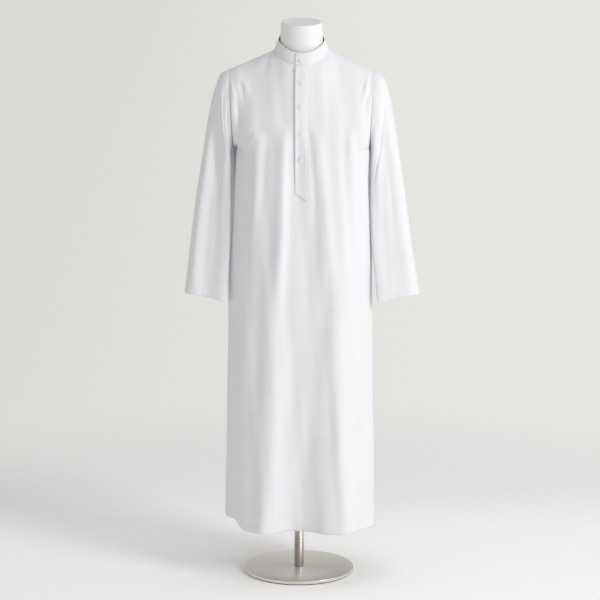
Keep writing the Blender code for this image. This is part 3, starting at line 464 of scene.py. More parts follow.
# Folds that run along a sleeve: between which sections, at what angles there, how wide in degrees, how deep
SleeveFold = namedtuple("SleeveFold", "start end at_start at_end width depth")
LEFT_SLEEVE_FOLDS = [SleeveFold(*row) for row in (
    (2, 9.5, 52, 142, 22, -0.0045),
    (3, 11, 84, 160, 20, 0.003),
    (4, 11.5, 30, 74, 24, 0.0025),
    (2, 10, 306, 236, 23, -0.0045),
    (3, 11, 262, 214, 20, 0.003),
    (2.6, 7.2, 48, 172, 10, -0.0036),
    (5.5, 11, 108, 96, 15, -0.0016),
    (1, 5, 292, 262, 12, 0.002),
    (5, 11, 320, 300, 15, 0.0016),
    (3.6, 9, 96, 116, 26, 0.0065),
    (6.5, 16, 84, 56, 42, 0.0065),
)]
RIGHT_SLEEVE_FOLDS = [SleeveFold(*row) for row in (
    (1.5, 10, 64, 112, 21, -0.005),
    (2, 8.5, 104, 152, 20, 0.0038),
    (3.5, 11.8, 40, 52, 20, 0.007),
    (2, 10, 300, 244, 22, -0.0048),
    (3, 10.5, 258, 216, 20, 0.0032),
    (1, 4.8, 36, 128, 11, 0.0034),
    (3.8, 9.5, 112, 130, 14, 0.0036),
    (0.2, 3.2, 66, 158, 12, -0.0022),
    (1, 5, 284, 250, 12, 0.002),
    (6, 11.3, 128, 138, 15, -0.0016),
    (1.5, 7.5, -10, 110, 30, -0.009),
    (6, 15, 112, 108, 30, -0.0045),
)]


def central(surface, a, b, step_a, step_b):
    """Normals of surface(a, b) from differences on both sides."""
    along_a = surface(a + step_a, b) - surface(a - step_a, b)
    along_b = surface(a, b + step_b) - surface(a, b - step_b)
    return unit(np.cross(along_a, along_b))


# The hem's folded edge: its height, how far it stands out and over what distance
HEM_FOLD = 0.022
HEM_RAISE, HEM_RAISE_OVER = 0.0004, 0.002

# How far the cloth sinks at its seams, over what distance, and the distance there from column to column and
# from the underarm to the shoulder. The columns past SHOULDER_FROM end in the shoulder seam.
SEAM_SINK, SINK_OVER = 0.0002, 0.0025
COLUMN_WIDTH, YOKE_HEIGHT = 0.0153, 0.27
SHOULDER_FROM = NECK_COLUMN - 0.2

# The front's crisp edges beside the sleeves, as a ridge down a column, and the heights over which they fade
EDGE_COLUMN, EDGE_WIDTH, EDGE_RIDGE = 14.4, 1.3, 0.0055
EDGE_TOP, EDGE_TOP_FADE = 1.290, 0.05
EDGE_FOOT, EDGE_FOOT_FADE = 0.780, 0.20

# The rows over which creases end below the upper seams, the row from which the cloth faces as the shoulder
# seam does, and how far the back's ripples are shifted from the front's
CREASE_END = 0.10
SEAM_ROW = 1.96
BACK_RIPPLE_SHIFT = 0.37
# Steps of columns and rows over which a panel's slope is taken
COLUMN_PROBE, ROW_PROBE = 0.05, 0.003


def panel_surface(facing, column, row):
    """The outer face of a panel with all its creases. Its edges sink a little into the seams."""
    def plain(a, b):
        return plain_panel(facing, np.clip(a, -LAST_COLUMN, LAST_COLUMN), np.clip(b, 0.0, 2.0))

    column, row = np.broadcast_arrays(np.asarray(column, float), np.asarray(row, float))
    point = plain(column, row)
    normal = central(plain, column, row, COLUMN_PROBE, ROW_PROBE) * -facing
    slope = unit(SHOULDER - NECK)
    side = np.where(column < 0, -1.0, 1.0)
    seam_normal = np.stack((-slope[2] * side, 0 * side, slope[0] + 0 * side), -1)
    at_shoulder = smooth_step((row - SEAM_ROW) / (2.0 - SEAM_ROW)) * (np.abs(column) >= NECK_COLUMN)
    normal = unit(normal + (seam_normal - normal) * at_shoulder[..., None])

    creases = FRONT_CREASES if facing < 0 else BACK_CREASES
    x, z = point[..., 0], point[..., 2]
    from_side = LAST_COLUMN - np.abs(column)
    calm = smooth_step((2.0 - row) / CREASE_END) * smooth_step(from_side)
    height = (crease_height(creases, x, z) + ripple_height(x + BACK_RIPPLE_SHIFT * (facing > 0), z)) * calm
    hem = hem_height(panel_angle(facing, column))
    height = height + HEM_RAISE * smooth_step((hem + HEM_FOLD - z) / HEM_RAISE_OVER)
    if facing < 0:
        edge = wave(np.abs(column) - EDGE_COLUMN, EDGE_WIDTH) * EDGE_RIDGE
        edge = edge * smooth_step((EDGE_TOP - z) / EDGE_TOP_FADE)
        height = height + edge * smooth_step((z - EDGE_FOOT) / EDGE_FOOT_FADE)
    above = np.where(np.abs(column) > SHOULDER_FROM, (2.0 - row) * YOKE_HEIGHT, 1.0)
    height = height - SEAM_SINK * (1.0 - smooth_step(np.minimum(from_side * COLUMN_WIDTH, above) / SINK_OVER))
    return point + normal * height[..., None]


# How steeply a sleeve's folds rise at their ends, and the width of cloth that one degree stands for
FOLD_RISE = 2.5
SLEEVE_DEGREE = 0.0013


def sleeve_section(place):
    """The values of the section at a place, which counts the sections from the armhole."""
    cut = through_rows(SLEEVE_SECTIONS, range(LAST_SECTION + 1), place)
    return Sleeve(*np.moveaxis(cut, -1, 0))


def sleeve_surface(side, folds, angle, place):
    """A sleeve's outer face: angle 0 is its outer edge and 90 its front."""
    angle, place = np.broadcast_arrays(np.asarray(angle, float), np.asarray(place, float))
    cut = sleeve_section(place)
    out = np.stack((cut.out_x, cut.mid_y, cut.out_z), -1)
    inside = np.stack((cut.in_x, cut.mid_y, cut.in_z), -1)
    turn = angle % 360.0
    facing = np.where(turn <= 180.0, 1.0, -1.0)
    handle = np.stack((0 * cut.lift, -cut.half_depth, cut.lift), -1) * (ELLIPSE_HANDLE * facing)[..., None]
    share = (np.where(facing > 0, turn, 360.0 - turn) / 180.0)[..., None]
    flat = smooth_step(place / FLAT_AT)
    point = bezier(out, out + handle, inside + handle * (1.0 - INNER_THIN * flat)[..., None], inside, share)
    depth = ripple_height(SLEEVE_DEGREE * turn_apart(turn, 0.0), point[..., 2]) * smooth_step(place)
    for fold in folds:
        run = (place - fold.start) / (fold.end - fold.start)
        middle = fold.at_start + (fold.at_end - fold.at_start) * run
        strength = smooth_step(FOLD_RISE * np.minimum(run, 1.0 - run))
        depth = depth + fold.depth * strength * wave(turn_apart(turn, middle), fold.width)
    point = point + unit(point - (out + inside) / 2.0) * depth[..., None]
    inward = np.maximum((smooth_step(share[..., 0]) - LEAD_FROM) / (1.0 - LEAD_FROM), 0.0) ** LEAD_POWER
    lead = SLEEVE_LEAD[side] * inward * flat
    return np.stack((point[..., 0] * side + cut.swing, point[..., 1] - lead, point[..., 2]), -1)


def collar_ends():
    """The turns at which the band starts and ends, in degrees round the neck."""
    over, under = (degrees(asin(edge / NECK[0])) for edge in PLACKET_EDGES)
    return -under, 360.0 - over


def collar_surface(turn, height):
    """The band's outer face, from its under end round the neck to its over end, which laps outside."""
    turn, height = np.broadcast_arrays(np.asarray(turn, float), np.asarray(height, float))
    low = neck_ring(-turn, NECK, NECK_FRONT, NECK_BACK)
    high = neck_ring(-turn, COLLAR_TOP_SIDE, COLLAR_TOP_FRONT, COLLAR_TOP_BACK)
    axis = unit(high - low)
    base = low + axis * COLLAR_GAP
    point = base + (high - base) * height[..., None]
    start, end = collar_ends()
    over = 1.0 - smooth_step((end - turn - COLLAR_LAP_LENGTH) / COLLAR_LAP_FADE)
    under = 1.0 - smooth_step((turn - start - COLLAR_LAP_LENGTH) / COLLAR_LAP_FADE)
    away = unit(point * np.array((1.0, 1.0, 0.0)))
    bulge = COLLAR_BULGE * np.sin(pi * np.clip(height, 0, 1))
    return point + away * (COLLAR_LAP * (over - under) + bulge)[..., None]


# --- Meshes ---


def add_object(name, data):
    piece = bpy.data.objects.new(name, data)
    bpy.context.scene.collection.objects.link(piece)
    return piece


def object_from(shape, name):
    """A plain object, made from a bmesh."""
    data = bpy.data.meshes.new(name)
    shape.to_mesh(data)
    shape.free()
    return add_object(name, data)


def mesh_piece(name, points, faces, look, sharp=40.0):
    data = bpy.data.meshes.new(name)
    data.from_pydata(points, [], faces)
    data.update()
    data.shade_smooth()
    data.set_sharp_from_angle(angle=radians(sharp))
    data.materials.append(look)
    piece = add_object(name, data)
    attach(piece, "root")
    return piece


def loft(name, rings, look, sharp=40.0):
    """A closed body through rings of equal counts, with single points at its two ends."""
    points, faces, numbers = [], [], []
    for ring in rings:
        ring = np.atleast_2d(ring)
        numbers.append([len(points) + k for k in range(len(ring))])
        points += ring.tolist()
    count = max(len(ring) for ring in numbers)
    for low, high in zip(numbers, numbers[1:]):
        for k in range(count):
            n = (k + 1) % count
            corners = (low[k % len(low)], low[n % len(low)], high[n % len(high)], high[k % len(high)])
            faces.append(tuple(dict.fromkeys(corners)))
    return mesh_piece(name, points, faces, look, sharp)


def circle(radius, height, angles):
    turn = np.radians(angles)
    return np.stack((radius * np.sin(turn), -radius * np.cos(turn), height + 0 * turn), -1)


def lathe(name, profile, sides, look, sharp=40.0):
    """A closed turned body. Points of the profile are (radius, height), from its axis back to its axis."""
    angles = 90.0 + 360.0 * np.arange(sides) / sides
    rings = [circle(radius, height, angles) if radius else (0.0, 0.0, height) for radius, height in profile]
    return loft(name, rings, look, sharp)


# How far the cloth's cut edges bulge, as a share of its thickness
RIM_ROUND = 0.35


def wall(name, outer, thickness, look, wraps=False, keep=None):
    """A closed wall of cloth with rounded edges, behind a grid whose columns run to the right and whose rows
    run up, as seen from outside. `keep` marks the cells that are there."""
    rows, columns = outer.shape[:2]
    across = np.roll(outer, -1, 1) - np.roll(outer, 1, 1) if wraps else np.gradient(outer, axis=1)
    inner = outer - unit(np.cross(across, np.gradient(outer, axis=0))) * thickness
    number = np.arange(rows * columns).reshape(rows, columns)
    if wraps:
        number = np.concatenate((number, number[:, :1]), 1)
    cells = np.stack((number[:-1, :-1], number[:-1, 1:], number[1:, 1:], number[1:, :-1]), -1)
    cells = cells.reshape(-1, 4) if keep is None else cells[keep]
    count = rows * columns

    sides = {(a, b): None for cell in cells.tolist() for a, b in zip(cell, cell[1:] + cell[:1])}
    rim = [(a, b) for a, b in sides if (b, a) not in sides]
    after, before = dict(rim), {b: a for a, b in rim}
    flat_outer, flat_inner = outer.reshape(-1, 3), inner.reshape(-1, 3)
    edge = [a for a, _ in rim]
    onward = flat_outer[[after[a] for a in edge]]
    back = flat_outer[[before[a] for a in edge]]
    along = unit(onward - flat_outer[edge]) + unit(flat_outer[edge] - back)
    away = unit(np.cross(along, flat_outer[edge] - flat_inner[edge]))
    middle = (flat_outer[edge] + flat_inner[edge]) / 2.0 + away * thickness * RIM_ROUND
    place = {a: 2 * count + i for i, a in enumerate(edge)}

    points = np.concatenate((flat_outer, flat_inner, middle))
    faces = cells.tolist() + (cells[:, ::-1] + count).tolist()
    for a, b in rim:
        faces.append([b, a, place[a], place[b]])
        faces.append([place[b], place[a], a + count, b + count])
    used = np.zeros(len(points), bool)
    used[np.unique(faces)] = True
    renumber = np.cumsum(used) - 1
    piece = mesh_piece(name, points[used].tolist(), renumber[faces].tolist(), look, sharp=60.0)
    add_cloth_map(piece, outer, cells, rim, wraps)
    return piece


def add_cloth_map(piece, outer, cells, rim, wraps):
    """A UV map in metres of cloth, so that the weave keeps its size and runs with the cut."""
    columns = outer.shape[1]
    closed = np.concatenate((outer, outer[:, :1]), 1) if wraps else outer
    u = np.concatenate(([0.0], np.cumsum(np.linalg.norm(np.diff(closed, axis=1), axis=2).mean(0))))
    v = np.concatenate(([0.0], np.cumsum(np.linalg.norm(np.diff(outer, axis=0), axis=2).mean(1))))
    r, c = np.divmod(cells, columns)
    right = np.where(c[:, 1] == 0, columns, c[:, 1]) if wraps else c[:, 1]
    outer_map = np.stack((np.stack((u[c[:, 0]], u[right], u[right], u[c[:, 3]]), -1), v[r]), -1)
    rim_map = []
    for a, b in rim:
        spot_a, spot_b = ((u[i % columns], v[i // columns]) for i in (a, b))
        rim_map += [spot_b, spot_a, spot_a, spot_b] * 2
    layer = piece.data.uv_layers.new(name="cloth")
    values = (outer_map.reshape(-1), outer_map[:, ::-1].reshape(-1), np.array(rim_map).reshape(-1))
    layer.data.foreach_set("uv", np.concatenate(values).astype(np.float32))


def steps_between(low, high, step, near=()):
    """Even steps from low to high, with extra ones by the given places."""
    count = max(int(round((high - low) / step)), 1)
    places = set(np.round(np.linspace(low, high, count + 1), 6))
    for place, gaps in near:
        places |= {round(place + gap, 6) for gap in gaps if low <= place + gap <= high}
    return np.array(sorted(places))


STITCH_PITCH, STITCH_LENGTH, STITCH_RADIUS = 0.0030, 0.0021, 0.00026
# A stitch is a spindle: how far from its middle its thick part ends, as a share of its length, and how far
# that part rises from the cloth, as a share of its radius
STITCH_THICK, STITCH_RISE = 0.28, 0.15


def walk(path, normals, pitch):
    """Places an even distance apart on a path, with the path's direction and the cloth's normals there."""
    along = np.concatenate(([0.0], np.cumsum(np.linalg.norm(np.diff(path, axis=0), axis=1))))
    count = int(along[-1] / pitch)
    at = (np.arange(count) + 0.5) * along[-1] / count

    def values(table, shift=0.0):
        return np.stack([np.interp(at + shift, along, table[:, k]) for k in range(3)], -1)

    return values(path), unit(values(path, pitch / 3) - values(path, -pitch / 3)), unit(values(normals))


def sew(name, runs, length=STITCH_LENGTH, pitch=STITCH_PITCH, radius=STITCH_RADIUS, across=False):
    """Threads lying on the cloth. Each run is a path and the cloth's normals along it."""
    points, faces = [], []
    for path, normals in runs:
        places, ahead, up = walk(path, normals, pitch)
        side = unit(np.cross(ahead, up))
        if across:
            ahead, side = side, ahead
        for place, forward, rise, aside in zip(places, ahead, up, side):
            start = len(points)
            points.append(place - forward * length / 2)
            for share in (-STITCH_THICK, STITCH_THICK):
                for turn in (0.0, pi / 2, pi, 1.5 * pi):
                    off = rise * (cos(turn) + STITCH_RISE) + aside * sin(turn)
                    points.append(place + forward * length * share + off * radius)
            points.append(place + forward * length / 2)
            for turn in range(4):
                a, b = start + 1 + turn, start + 1 + (turn + 1) % 4
                faces += [(start, b, a), (a, b, b + 4, a + 4), (a + 4, b + 4, start + 9)]
    return mesh_piece(name, [tuple(point) for point in points], faces, thread, sharp=80.0)


def on_surface(face, a, b, step_a, step_b, out=1.0, lift=0.0):
    """Places on a face, lifted off it, and normals; `out` is -1 for a face whose own normals point in."""
    a, b = np.broadcast_arrays(np.asarray(a, float), np.asarray(b, float))
    normal = central(face, a, b, step_a, step_b) * out
    return face(a, b) + normal * lift, normal


# --- Materials ---


class Nodes:
    """A short way to build a node tree."""

    def __init__(self, tree):
        self.tree = tree

    def feed(self, node, inputs):
        """Links the inputs that are sockets and sets the others."""
        for key, value in dict(inputs).items():
            if isinstance(value, bpy.types.NodeSocket):
                self.tree.links.new(value, node.inputs[key])
            else:
                node.inputs[key].default_value = value
        return node

    def add(self, kind, inputs=(), **settings):
        node = self.tree.nodes.new("ShaderNode" + kind)
        for name, value in settings.items():
            setattr(node, name, value)
        return self.feed(node, inputs)

    def place(self, output="Object"):
        return self.add("TexCoord").outputs[output]

    def split(self, vector):
        return self.add("SeparateXYZ", {0: vector}).outputs

    def maths(self, operation, a, b=0.0):
        return self.add("Math", {0: a, 1: b}, operation=operation).outputs[0]

    def mixed(self, a, share_a, b, share_b):
        """The sum of two values, each times its share."""
        return self.maths("ADD", self.maths("MULTIPLY", a, share_a), self.maths("MULTIPLY", b, share_b))

    def noise(self, place, scale=1.0, detail=2.0, roughness=0.5):
        inputs = {"Vector": place, "Scale": scale, "Detail": detail, "Roughness": roughness}
        return self.add("TexNoise", inputs).outputs["Fac"]

    def stretched(self, place, *scale):
        return self.add("Mapping", {"Vector": place, "Scale": scale}).outputs[0]

    def fit(self, value, low, high, to_low=0.0, to_high=1.0, curve="LINEAR"):
        inputs = {0: value, 1: low, 2: high, 3: to_low, 4: to_high}
        return self.add("MapRange", inputs, interpolation_type=curve).outputs[0]

    def rise(self, value, low, high):
        return self.fit(value, low, high, curve="SMOOTHSTEP")

    def blend(self, share, a, b):
        """A colour from a to b, each a socket or three numbers."""
        a, b = (colour if isinstance(colour, bpy.types.NodeSocket) else (*colour, 1.0) for colour in (a, b))
        return self.add("Mix", {0: share, 6: a, 7: b}, data_type="RGBA").outputs[2]

    def bump(self, height, strength, distance):
        return self.add("Bump", {"Height": height, "Strength": strength, "Distance": distance}).outputs[0]


def new_look(name):
    look = bpy.data.materials.new(name)
    look.use_nodes = True
    return look, look.node_tree.nodes["Principled BSDF"], Nodes(look.node_tree)


THREAD_PITCH = 0.00062


def cotton_look(name, light, dark):
    """White poplin: a plain weave with slubs, soft handling marks and a faint sheen."""
    look, shader, nodes = new_look(name)
    place = nodes.add("UVMap", uv_map="cloth").outputs[0]
    threads = [nodes.maths("SINE", nodes.maths("MULTIPLY", way, 2.0 * pi / THREAD_PITCH))
               for way in nodes.split(place)[:2]]
    weave = nodes.maths("MULTIPLY", *threads)
    slub_up = nodes.noise(nodes.stretched(place, 900.0, 28.0, 1.0), detail=3.0)
    slub_across = nodes.noise(nodes.stretched(place, 22.0, 800.0, 1.0), detail=3.0)
    slubs = nodes.maths("ADD", slub_up, slub_across)
    marks = nodes.noise(nodes.stretched(place, 34.0, 21.0, 1.0), detail=5.0, roughness=0.58)
    tone = nodes.fit(nodes.mixed(slubs, 0.7, marks, 1.0), 0.9, 1.5)
    height = nodes.mixed(nodes.mixed(weave, 0.00004, slubs, 0.00007), 1.0, marks, 0.00075)
    nodes.feed(shader, {
        "Base Color": nodes.blend(tone, dark, light),
        "Roughness": nodes.fit(slub_up, 0.3, 0.7, 0.74, 0.88),
        "Normal": nodes.bump(height, 0.55, 1.0),
        "Sheen Weight": 0.10,
        "Sheen Roughness": 0.45,
        "Specular IOR Level": 0.25,
    })
    return look


def thread_look():
    look, shader, nodes = new_look("sewing_thread")
    twist = nodes.noise(nodes.place(), 900.0)
    nodes.feed(shader, {
        "Base Color": nodes.blend(twist, (0.76, 0.757, 0.765), (0.86, 0.857, 0.862)),
        "Normal": nodes.bump(twist, 0.4, 0.0002),
        "Roughness": 0.55,
        "Sheen Weight": 0.15,
    })
    return look


def button_look():
    """White shell-like plastic with faint clouds."""
    look, shader, nodes = new_look("button_white")
    cloud = nodes.noise(nodes.place(), 420.0, 3.0)
    nodes.feed(shader, {
        "Base Color": nodes.blend(cloud, (0.86, 0.857, 0.855), (0.91, 0.909, 0.91)),
        "Roughness": nodes.fit(cloud, 0.3, 0.7, 0.22, 0.34),
        "Coat Weight": 0.3,
        "Coat Roughness": 0.15,
    })
    return look


def form_look():
    """Smooth matt white lacquer, with a very fine orange peel."""
    look, shader, nodes = new_look("form_lacquer")
    place = nodes.place()
    cloud = nodes.noise(place, 9.0, 3.0)
    nodes.feed(shader, {
        "Base Color": nodes.blend(cloud, (0.81, 0.81, 0.81), (0.84, 0.84, 0.842)),
        "Roughness": nodes.fit(cloud, 0.3, 0.7, 0.46, 0.54),
        "Normal": nodes.bump(nodes.noise(place, 420.0), 0.25, 0.0002),
    })
    return look


def steel_look(name, round_brush):
    """Satin nickel-steel with fine brush lines, round the base or along the pole."""
    look, shader, nodes = new_look(name)
    place = nodes.place()
    if round_brush:
        x, y, _ = nodes.split(place)
        flat = nodes.add("CombineXYZ", {0: x, 1: y}).outputs[0]
        reach = nodes.add("VectorMath", {0: flat}, operation="LENGTH").outputs[1]
        rings = {0: nodes.maths("MULTIPLY", reach, 2600.0), 1: nodes.maths("ARCTAN2", y, x)}
        lines = nodes.add("CombineXYZ", rings).outputs[0]
    else:
        lines = nodes.stretched(place, 2200.0, 2200.0, 22.0)
    brush = nodes.noise(lines, 1.0, 3.0, 0.6)
    worn = nodes.mixed(brush, 0.7, nodes.noise(place, 14.0, 3.0), 0.3)
    nodes.feed(shader, {
        "Base Color": nodes.blend(nodes.fit(worn, 0.3, 0.7), (0.71, 0.682, 0.642), (0.86, 0.826, 0.782)),
        "Roughness": nodes.fit(worn, 0.3, 0.7, 0.27, 0.40),
        "Normal": nodes.bump(brush, 0.35, 0.0001),
        "Metallic": 1.0,
        "Anisotropic": 0.4,
    })
    return look


def rubber_look():
    look, shader, nodes = new_look("pad_rubber")
    grain = nodes.noise(nodes.place(), 700.0, 4.0, 0.65)
    nodes.feed(shader, {
        "Base Color": nodes.blend(grain, (0.025, 0.025, 0.025), (0.06, 0.058, 0.055)),
        "Normal": nodes.bump(grain, 0.6, 0.0004),
        "Roughness": 0.8,
    })
    return look


cotton = cotton_look("poplin", (0.821, 0.813, 0.845), (0.791, 0.783, 0.816))
trim_cotton = cotton_look("poplin_trim", (0.829, 0.821, 0.852), (0.799, 0.791, 0.823))
thread = thread_look()

# --- Robe ---


def rows_at(heights):
    """The rows of the front's middle column at which its cloth has these heights."""
    rows = np.linspace(0.0, 2.0, 4001)
    return np.interp(heights, plain_panel(-1, 0.0, rows)[:, 2], rows)


# How fine the panels' grids are: one step of columns, and the rows' steps in the skirt, below the underarm
# and above it
COLUMN_STEP = 0.216
SKIRT_ROW_STEP, WAIST_ROW_STEP, YOKE_ROW_STEP = 0.0068, 0.0041, 0.0125
WAIST_ROW = 0.54
# Extra columns beside the side seams, and extra rows at the hem's fold and below the upper seams
SIDE_GAPS = (0.03, 0.07, 0.12, 0.17)
FOLD_GAPS = (-0.0018, -0.0009, 0.0, 0.0009)
TOP_GAPS = (-0.009, -0.006, -0.003)


def panel_places():
    columns = steps_between(-LAST_COLUMN, LAST_COLUMN, COLUMN_STEP, (
        (-LAST_COLUMN, SIDE_GAPS),
        (LAST_COLUMN, [-gap for gap in SIDE_GAPS]),
        (-OPENING_COLUMN, (0.0,)),
        (OPENING_COLUMN, (0.0,)),
    ))
    fold = HEM_FOLD / (UNDERARM_Z - HEM_Z)
    rows = np.unique(np.concatenate((
        steps_between(0.0, WAIST_ROW, SKIRT_ROW_STEP, ((fold, FOLD_GAPS),)),
        steps_between(WAIST_ROW, 1.0, WAIST_ROW_STEP),
        steps_between(1.0, 2.0, YOKE_ROW_STEP, ((2.0, TOP_GAPS),)),
    )))
    return columns, rows


def front_face(column, row):
    return panel_surface(-1, column, row)


def back_face(column, row):
    return panel_surface(1, column, row)


def make_panels():
    columns, rows = panel_places()
    opening = float(rows_at(OPENING_BOTTOM_Z))
    rows[np.argmin(np.abs(rows - opening))] = opening
    middles = (columns[1:] + columns[:-1]) / 2.0
    keep = ~((rows[:-1, None] >= opening - 1e-9) & (np.abs(middles)[None] < OPENING_COLUMN))
    front = wall("robe_front", front_face(columns[None], rows[:, None]), CLOTH, cotton, keep=keep)
    back = wall("robe_back", back_face(columns[::-1][None], rows[:, None]), CLOTH, cotton)
    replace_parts(front, "front")
    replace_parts(back, "back")
    return front, back


# The sleeve's tuck under the panels, and its folded cuff, which lies in the last section
TUCK_LENGTH, TUCK_DEPTH = 0.25, 0.0003
CUFF_FOLD, CUFF_RISE_OVER = 0.030, 0.03
CUFF_SECTION_LENGTH = 0.079
CUFF_PLACE = LAST_SECTION - CUFF_FOLD / CUFF_SECTION_LENGTH
CUFF_GAPS = (0.0, 0.01, 0.02, 0.03)
SLEEVE_TURN_STEP, SLEEVE_PLACE_STEP = 3.0, 0.055


def sleeve_face(side, folds, angle, place):
    """The sleeve's outer face with its seams: it tucks under the panels and has a folded cuff."""
    point = sleeve_surface(side, folds, angle, place)
    cut = sleeve_section(np.asarray(place, float))
    middle = np.stack(((cut.out_x + cut.in_x) / 2 * side, cut.mid_y, (cut.out_z + cut.in_z) / 2), -1)
    tuck = TUCK_DEPTH * (1.0 - smooth_step(place / TUCK_LENGTH))
    cuff = HEM_RAISE * smooth_step((place - CUFF_PLACE) / CUFF_RISE_OVER)
    return point + unit(point - middle) * (cuff - tuck)[..., None]


def make_sleeve(name, node, side, folds):
    angles = side * np.arange(0.0, 360.0, SLEEVE_TURN_STEP)
    places = steps_between(0.0, LAST_SECTION, SLEEVE_PLACE_STEP, ((CUFF_PLACE, CUFF_GAPS),))
    grid = sleeve_face(side, folds, angles[None], places[::-1][:, None])
    sleeve = wall(name, grid[:, ::-1], CLOTH, cotton, wraps=True)
    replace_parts(sleeve, node)
    return sleeve


# The collar's rounded corners, the band's size there, and how its columns lie along it
COLLAR_CORNER = 0.0050
COLLAR_RADIUS, COLLAR_HEIGHT = 0.078, 0.034
COLLAR_TURN_STEP = 1.5
COLLAR_END_GAPS = (0.2, 0.5, 0.9, 1.3, 1.9, 2.6, 3.4)


def collar_face(turn, height):
    """The band with rounded top corners at its two ends."""
    start, end = collar_ends()
    reach = np.minimum(turn - start, end - turn) * radians(1.0) * COLLAR_RADIUS
    short = np.clip(COLLAR_CORNER - reach, 0.0, COLLAR_CORNER)
    drop = COLLAR_CORNER - np.sqrt(np.maximum(COLLAR_CORNER ** 2 - short ** 2, 0.0))
    return collar_surface(turn, height * (1.0 - drop / COLLAR_HEIGHT))


def make_collar():
    start, end = collar_ends()
    near = ((start, COLLAR_END_GAPS), (end, [-gap for gap in COLLAR_END_GAPS]))
    turns = steps_between(start, end, COLLAR_TURN_STEP, near)[::-1]
    grid = collar_face(turns[None], np.linspace(0.0, 1.0, 15)[:, None])
    collar = wall("robe_collar", grid, COLLAR_CLOTH, trim_cotton)
    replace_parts(collar, "collar")
    return collar


# The placket's free edge stands a little off the panel: how far, and the shares of its width and length
# over which that fades
EDGE_CURL = 0.0025
CURL_ACROSS, CURL_BELOW, CURL_ABOVE = 0.30, 0.09, 0.05
# The steps over which a band's slope is taken on the panel, up to a row just below the neckline
BAND_PROBE, BAND_TOP_ROW = (0.08, 0.004), 1.99
BAND_COLUMNS, BAND_ROWS = 15, 130


def strip_face(edges, low, high, slant, lift, curl=0.0):
    """A surface over the front panel between two edges: a runs 0 to 1 across it, and b 0 to 1 up it."""
    first, last = (column_across(edge) for edge in edges)

    def face(a, b):
        bottom = low - slant * a
        row = bottom + (high - bottom) * b
        column = first + (last - first) * a
        normal = central(front_face, column, np.minimum(row, BAND_TOP_ROW), *BAND_PROBE)
        ends = smooth_step(b / CURL_BELOW) * smooth_step((1.0 - b) / CURL_ABOVE)
        free = smooth_step(1.0 - a / CURL_ACROSS) * ends
        return front_face(column, row) + normal * np.asarray(lift + curl * free)[..., None]

    return face


def make_placket():
    high = float(rows_at(NECK_FRONT[2] - PLACKET_TOP_GAP))
    end = float(rows_at(PLACKET_END_Z))
    slant = end - float(rows_at(PLACKET_END_Z - PLACKET_SLANT))
    across, up = np.linspace(0.0, 1.0, BAND_COLUMNS)[None], np.linspace(0.0, 1.0, BAND_ROWS)[:, None]
    over_face = strip_face(PLACKET_EDGES, end, high, slant, LAY_GAP + PLACKET_CLOTH, EDGE_CURL)
    under_face = strip_face(BUTTON_BAND_EDGES, end - slant, high, 0.0, -CLOTH - LAY_GAP)
    over = wall("robe_placket_over", over_face(across, up), PLACKET_CLOTH, trim_cotton)
    under = wall("robe_placket_under", under_face(across, up), PLACKET_CLOTH, trim_cotton)
    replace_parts(over, "placket_over")
    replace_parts(under, "placket_under")
    return over, under, over_face


front, back = make_panels()
sleeve_left = make_sleeve("robe_sleeve_left", "sleeve_left", 1, LEFT_SLEEVE_FOLDS)
sleeve_right = make_sleeve("robe_sleeve_right", "sleeve_right", -1, RIGHT_SLEEVE_FOLDS)
collar = make_collar()
placket_over, placket_under, placket_face = make_placket()

# --- Sewing ---

ON_CLOTH = STITCH_RADIUS * 0.35
# How far stitches lie inside the edges of the folds. The hem's line ends just before the side seams, those of
# the armholes run up a column, and those of the shoulders run along a row of the back.
IN_FROM_FOLD = 0.002
HEM_END = 16.9
ARMHOLE_LINE, ARMHOLE_ROWS = 16.72, (1.02, 1.97)
SHOULDER_LINE, SHOULDER_COLUMNS = 1.984, (7.15, 16.8)
# The collar's two lines, as shares of its height, and how many degrees short of its ends they stop
COLLAR_LINES, COLLAR_SHORT = (0.075, 0.925), 1.2
# The placket's two lines along its edges and two across its lower end, as shares of its width and length
PLACKET_LINES, PLACKET_BARS = (0.07, 0.93), (0.006, 0.10)
PLACKET_LINE_ENDS = (0.006, 0.988)
BAND_STITCHES = {"pitch": 0.0026, "length": 0.0019}


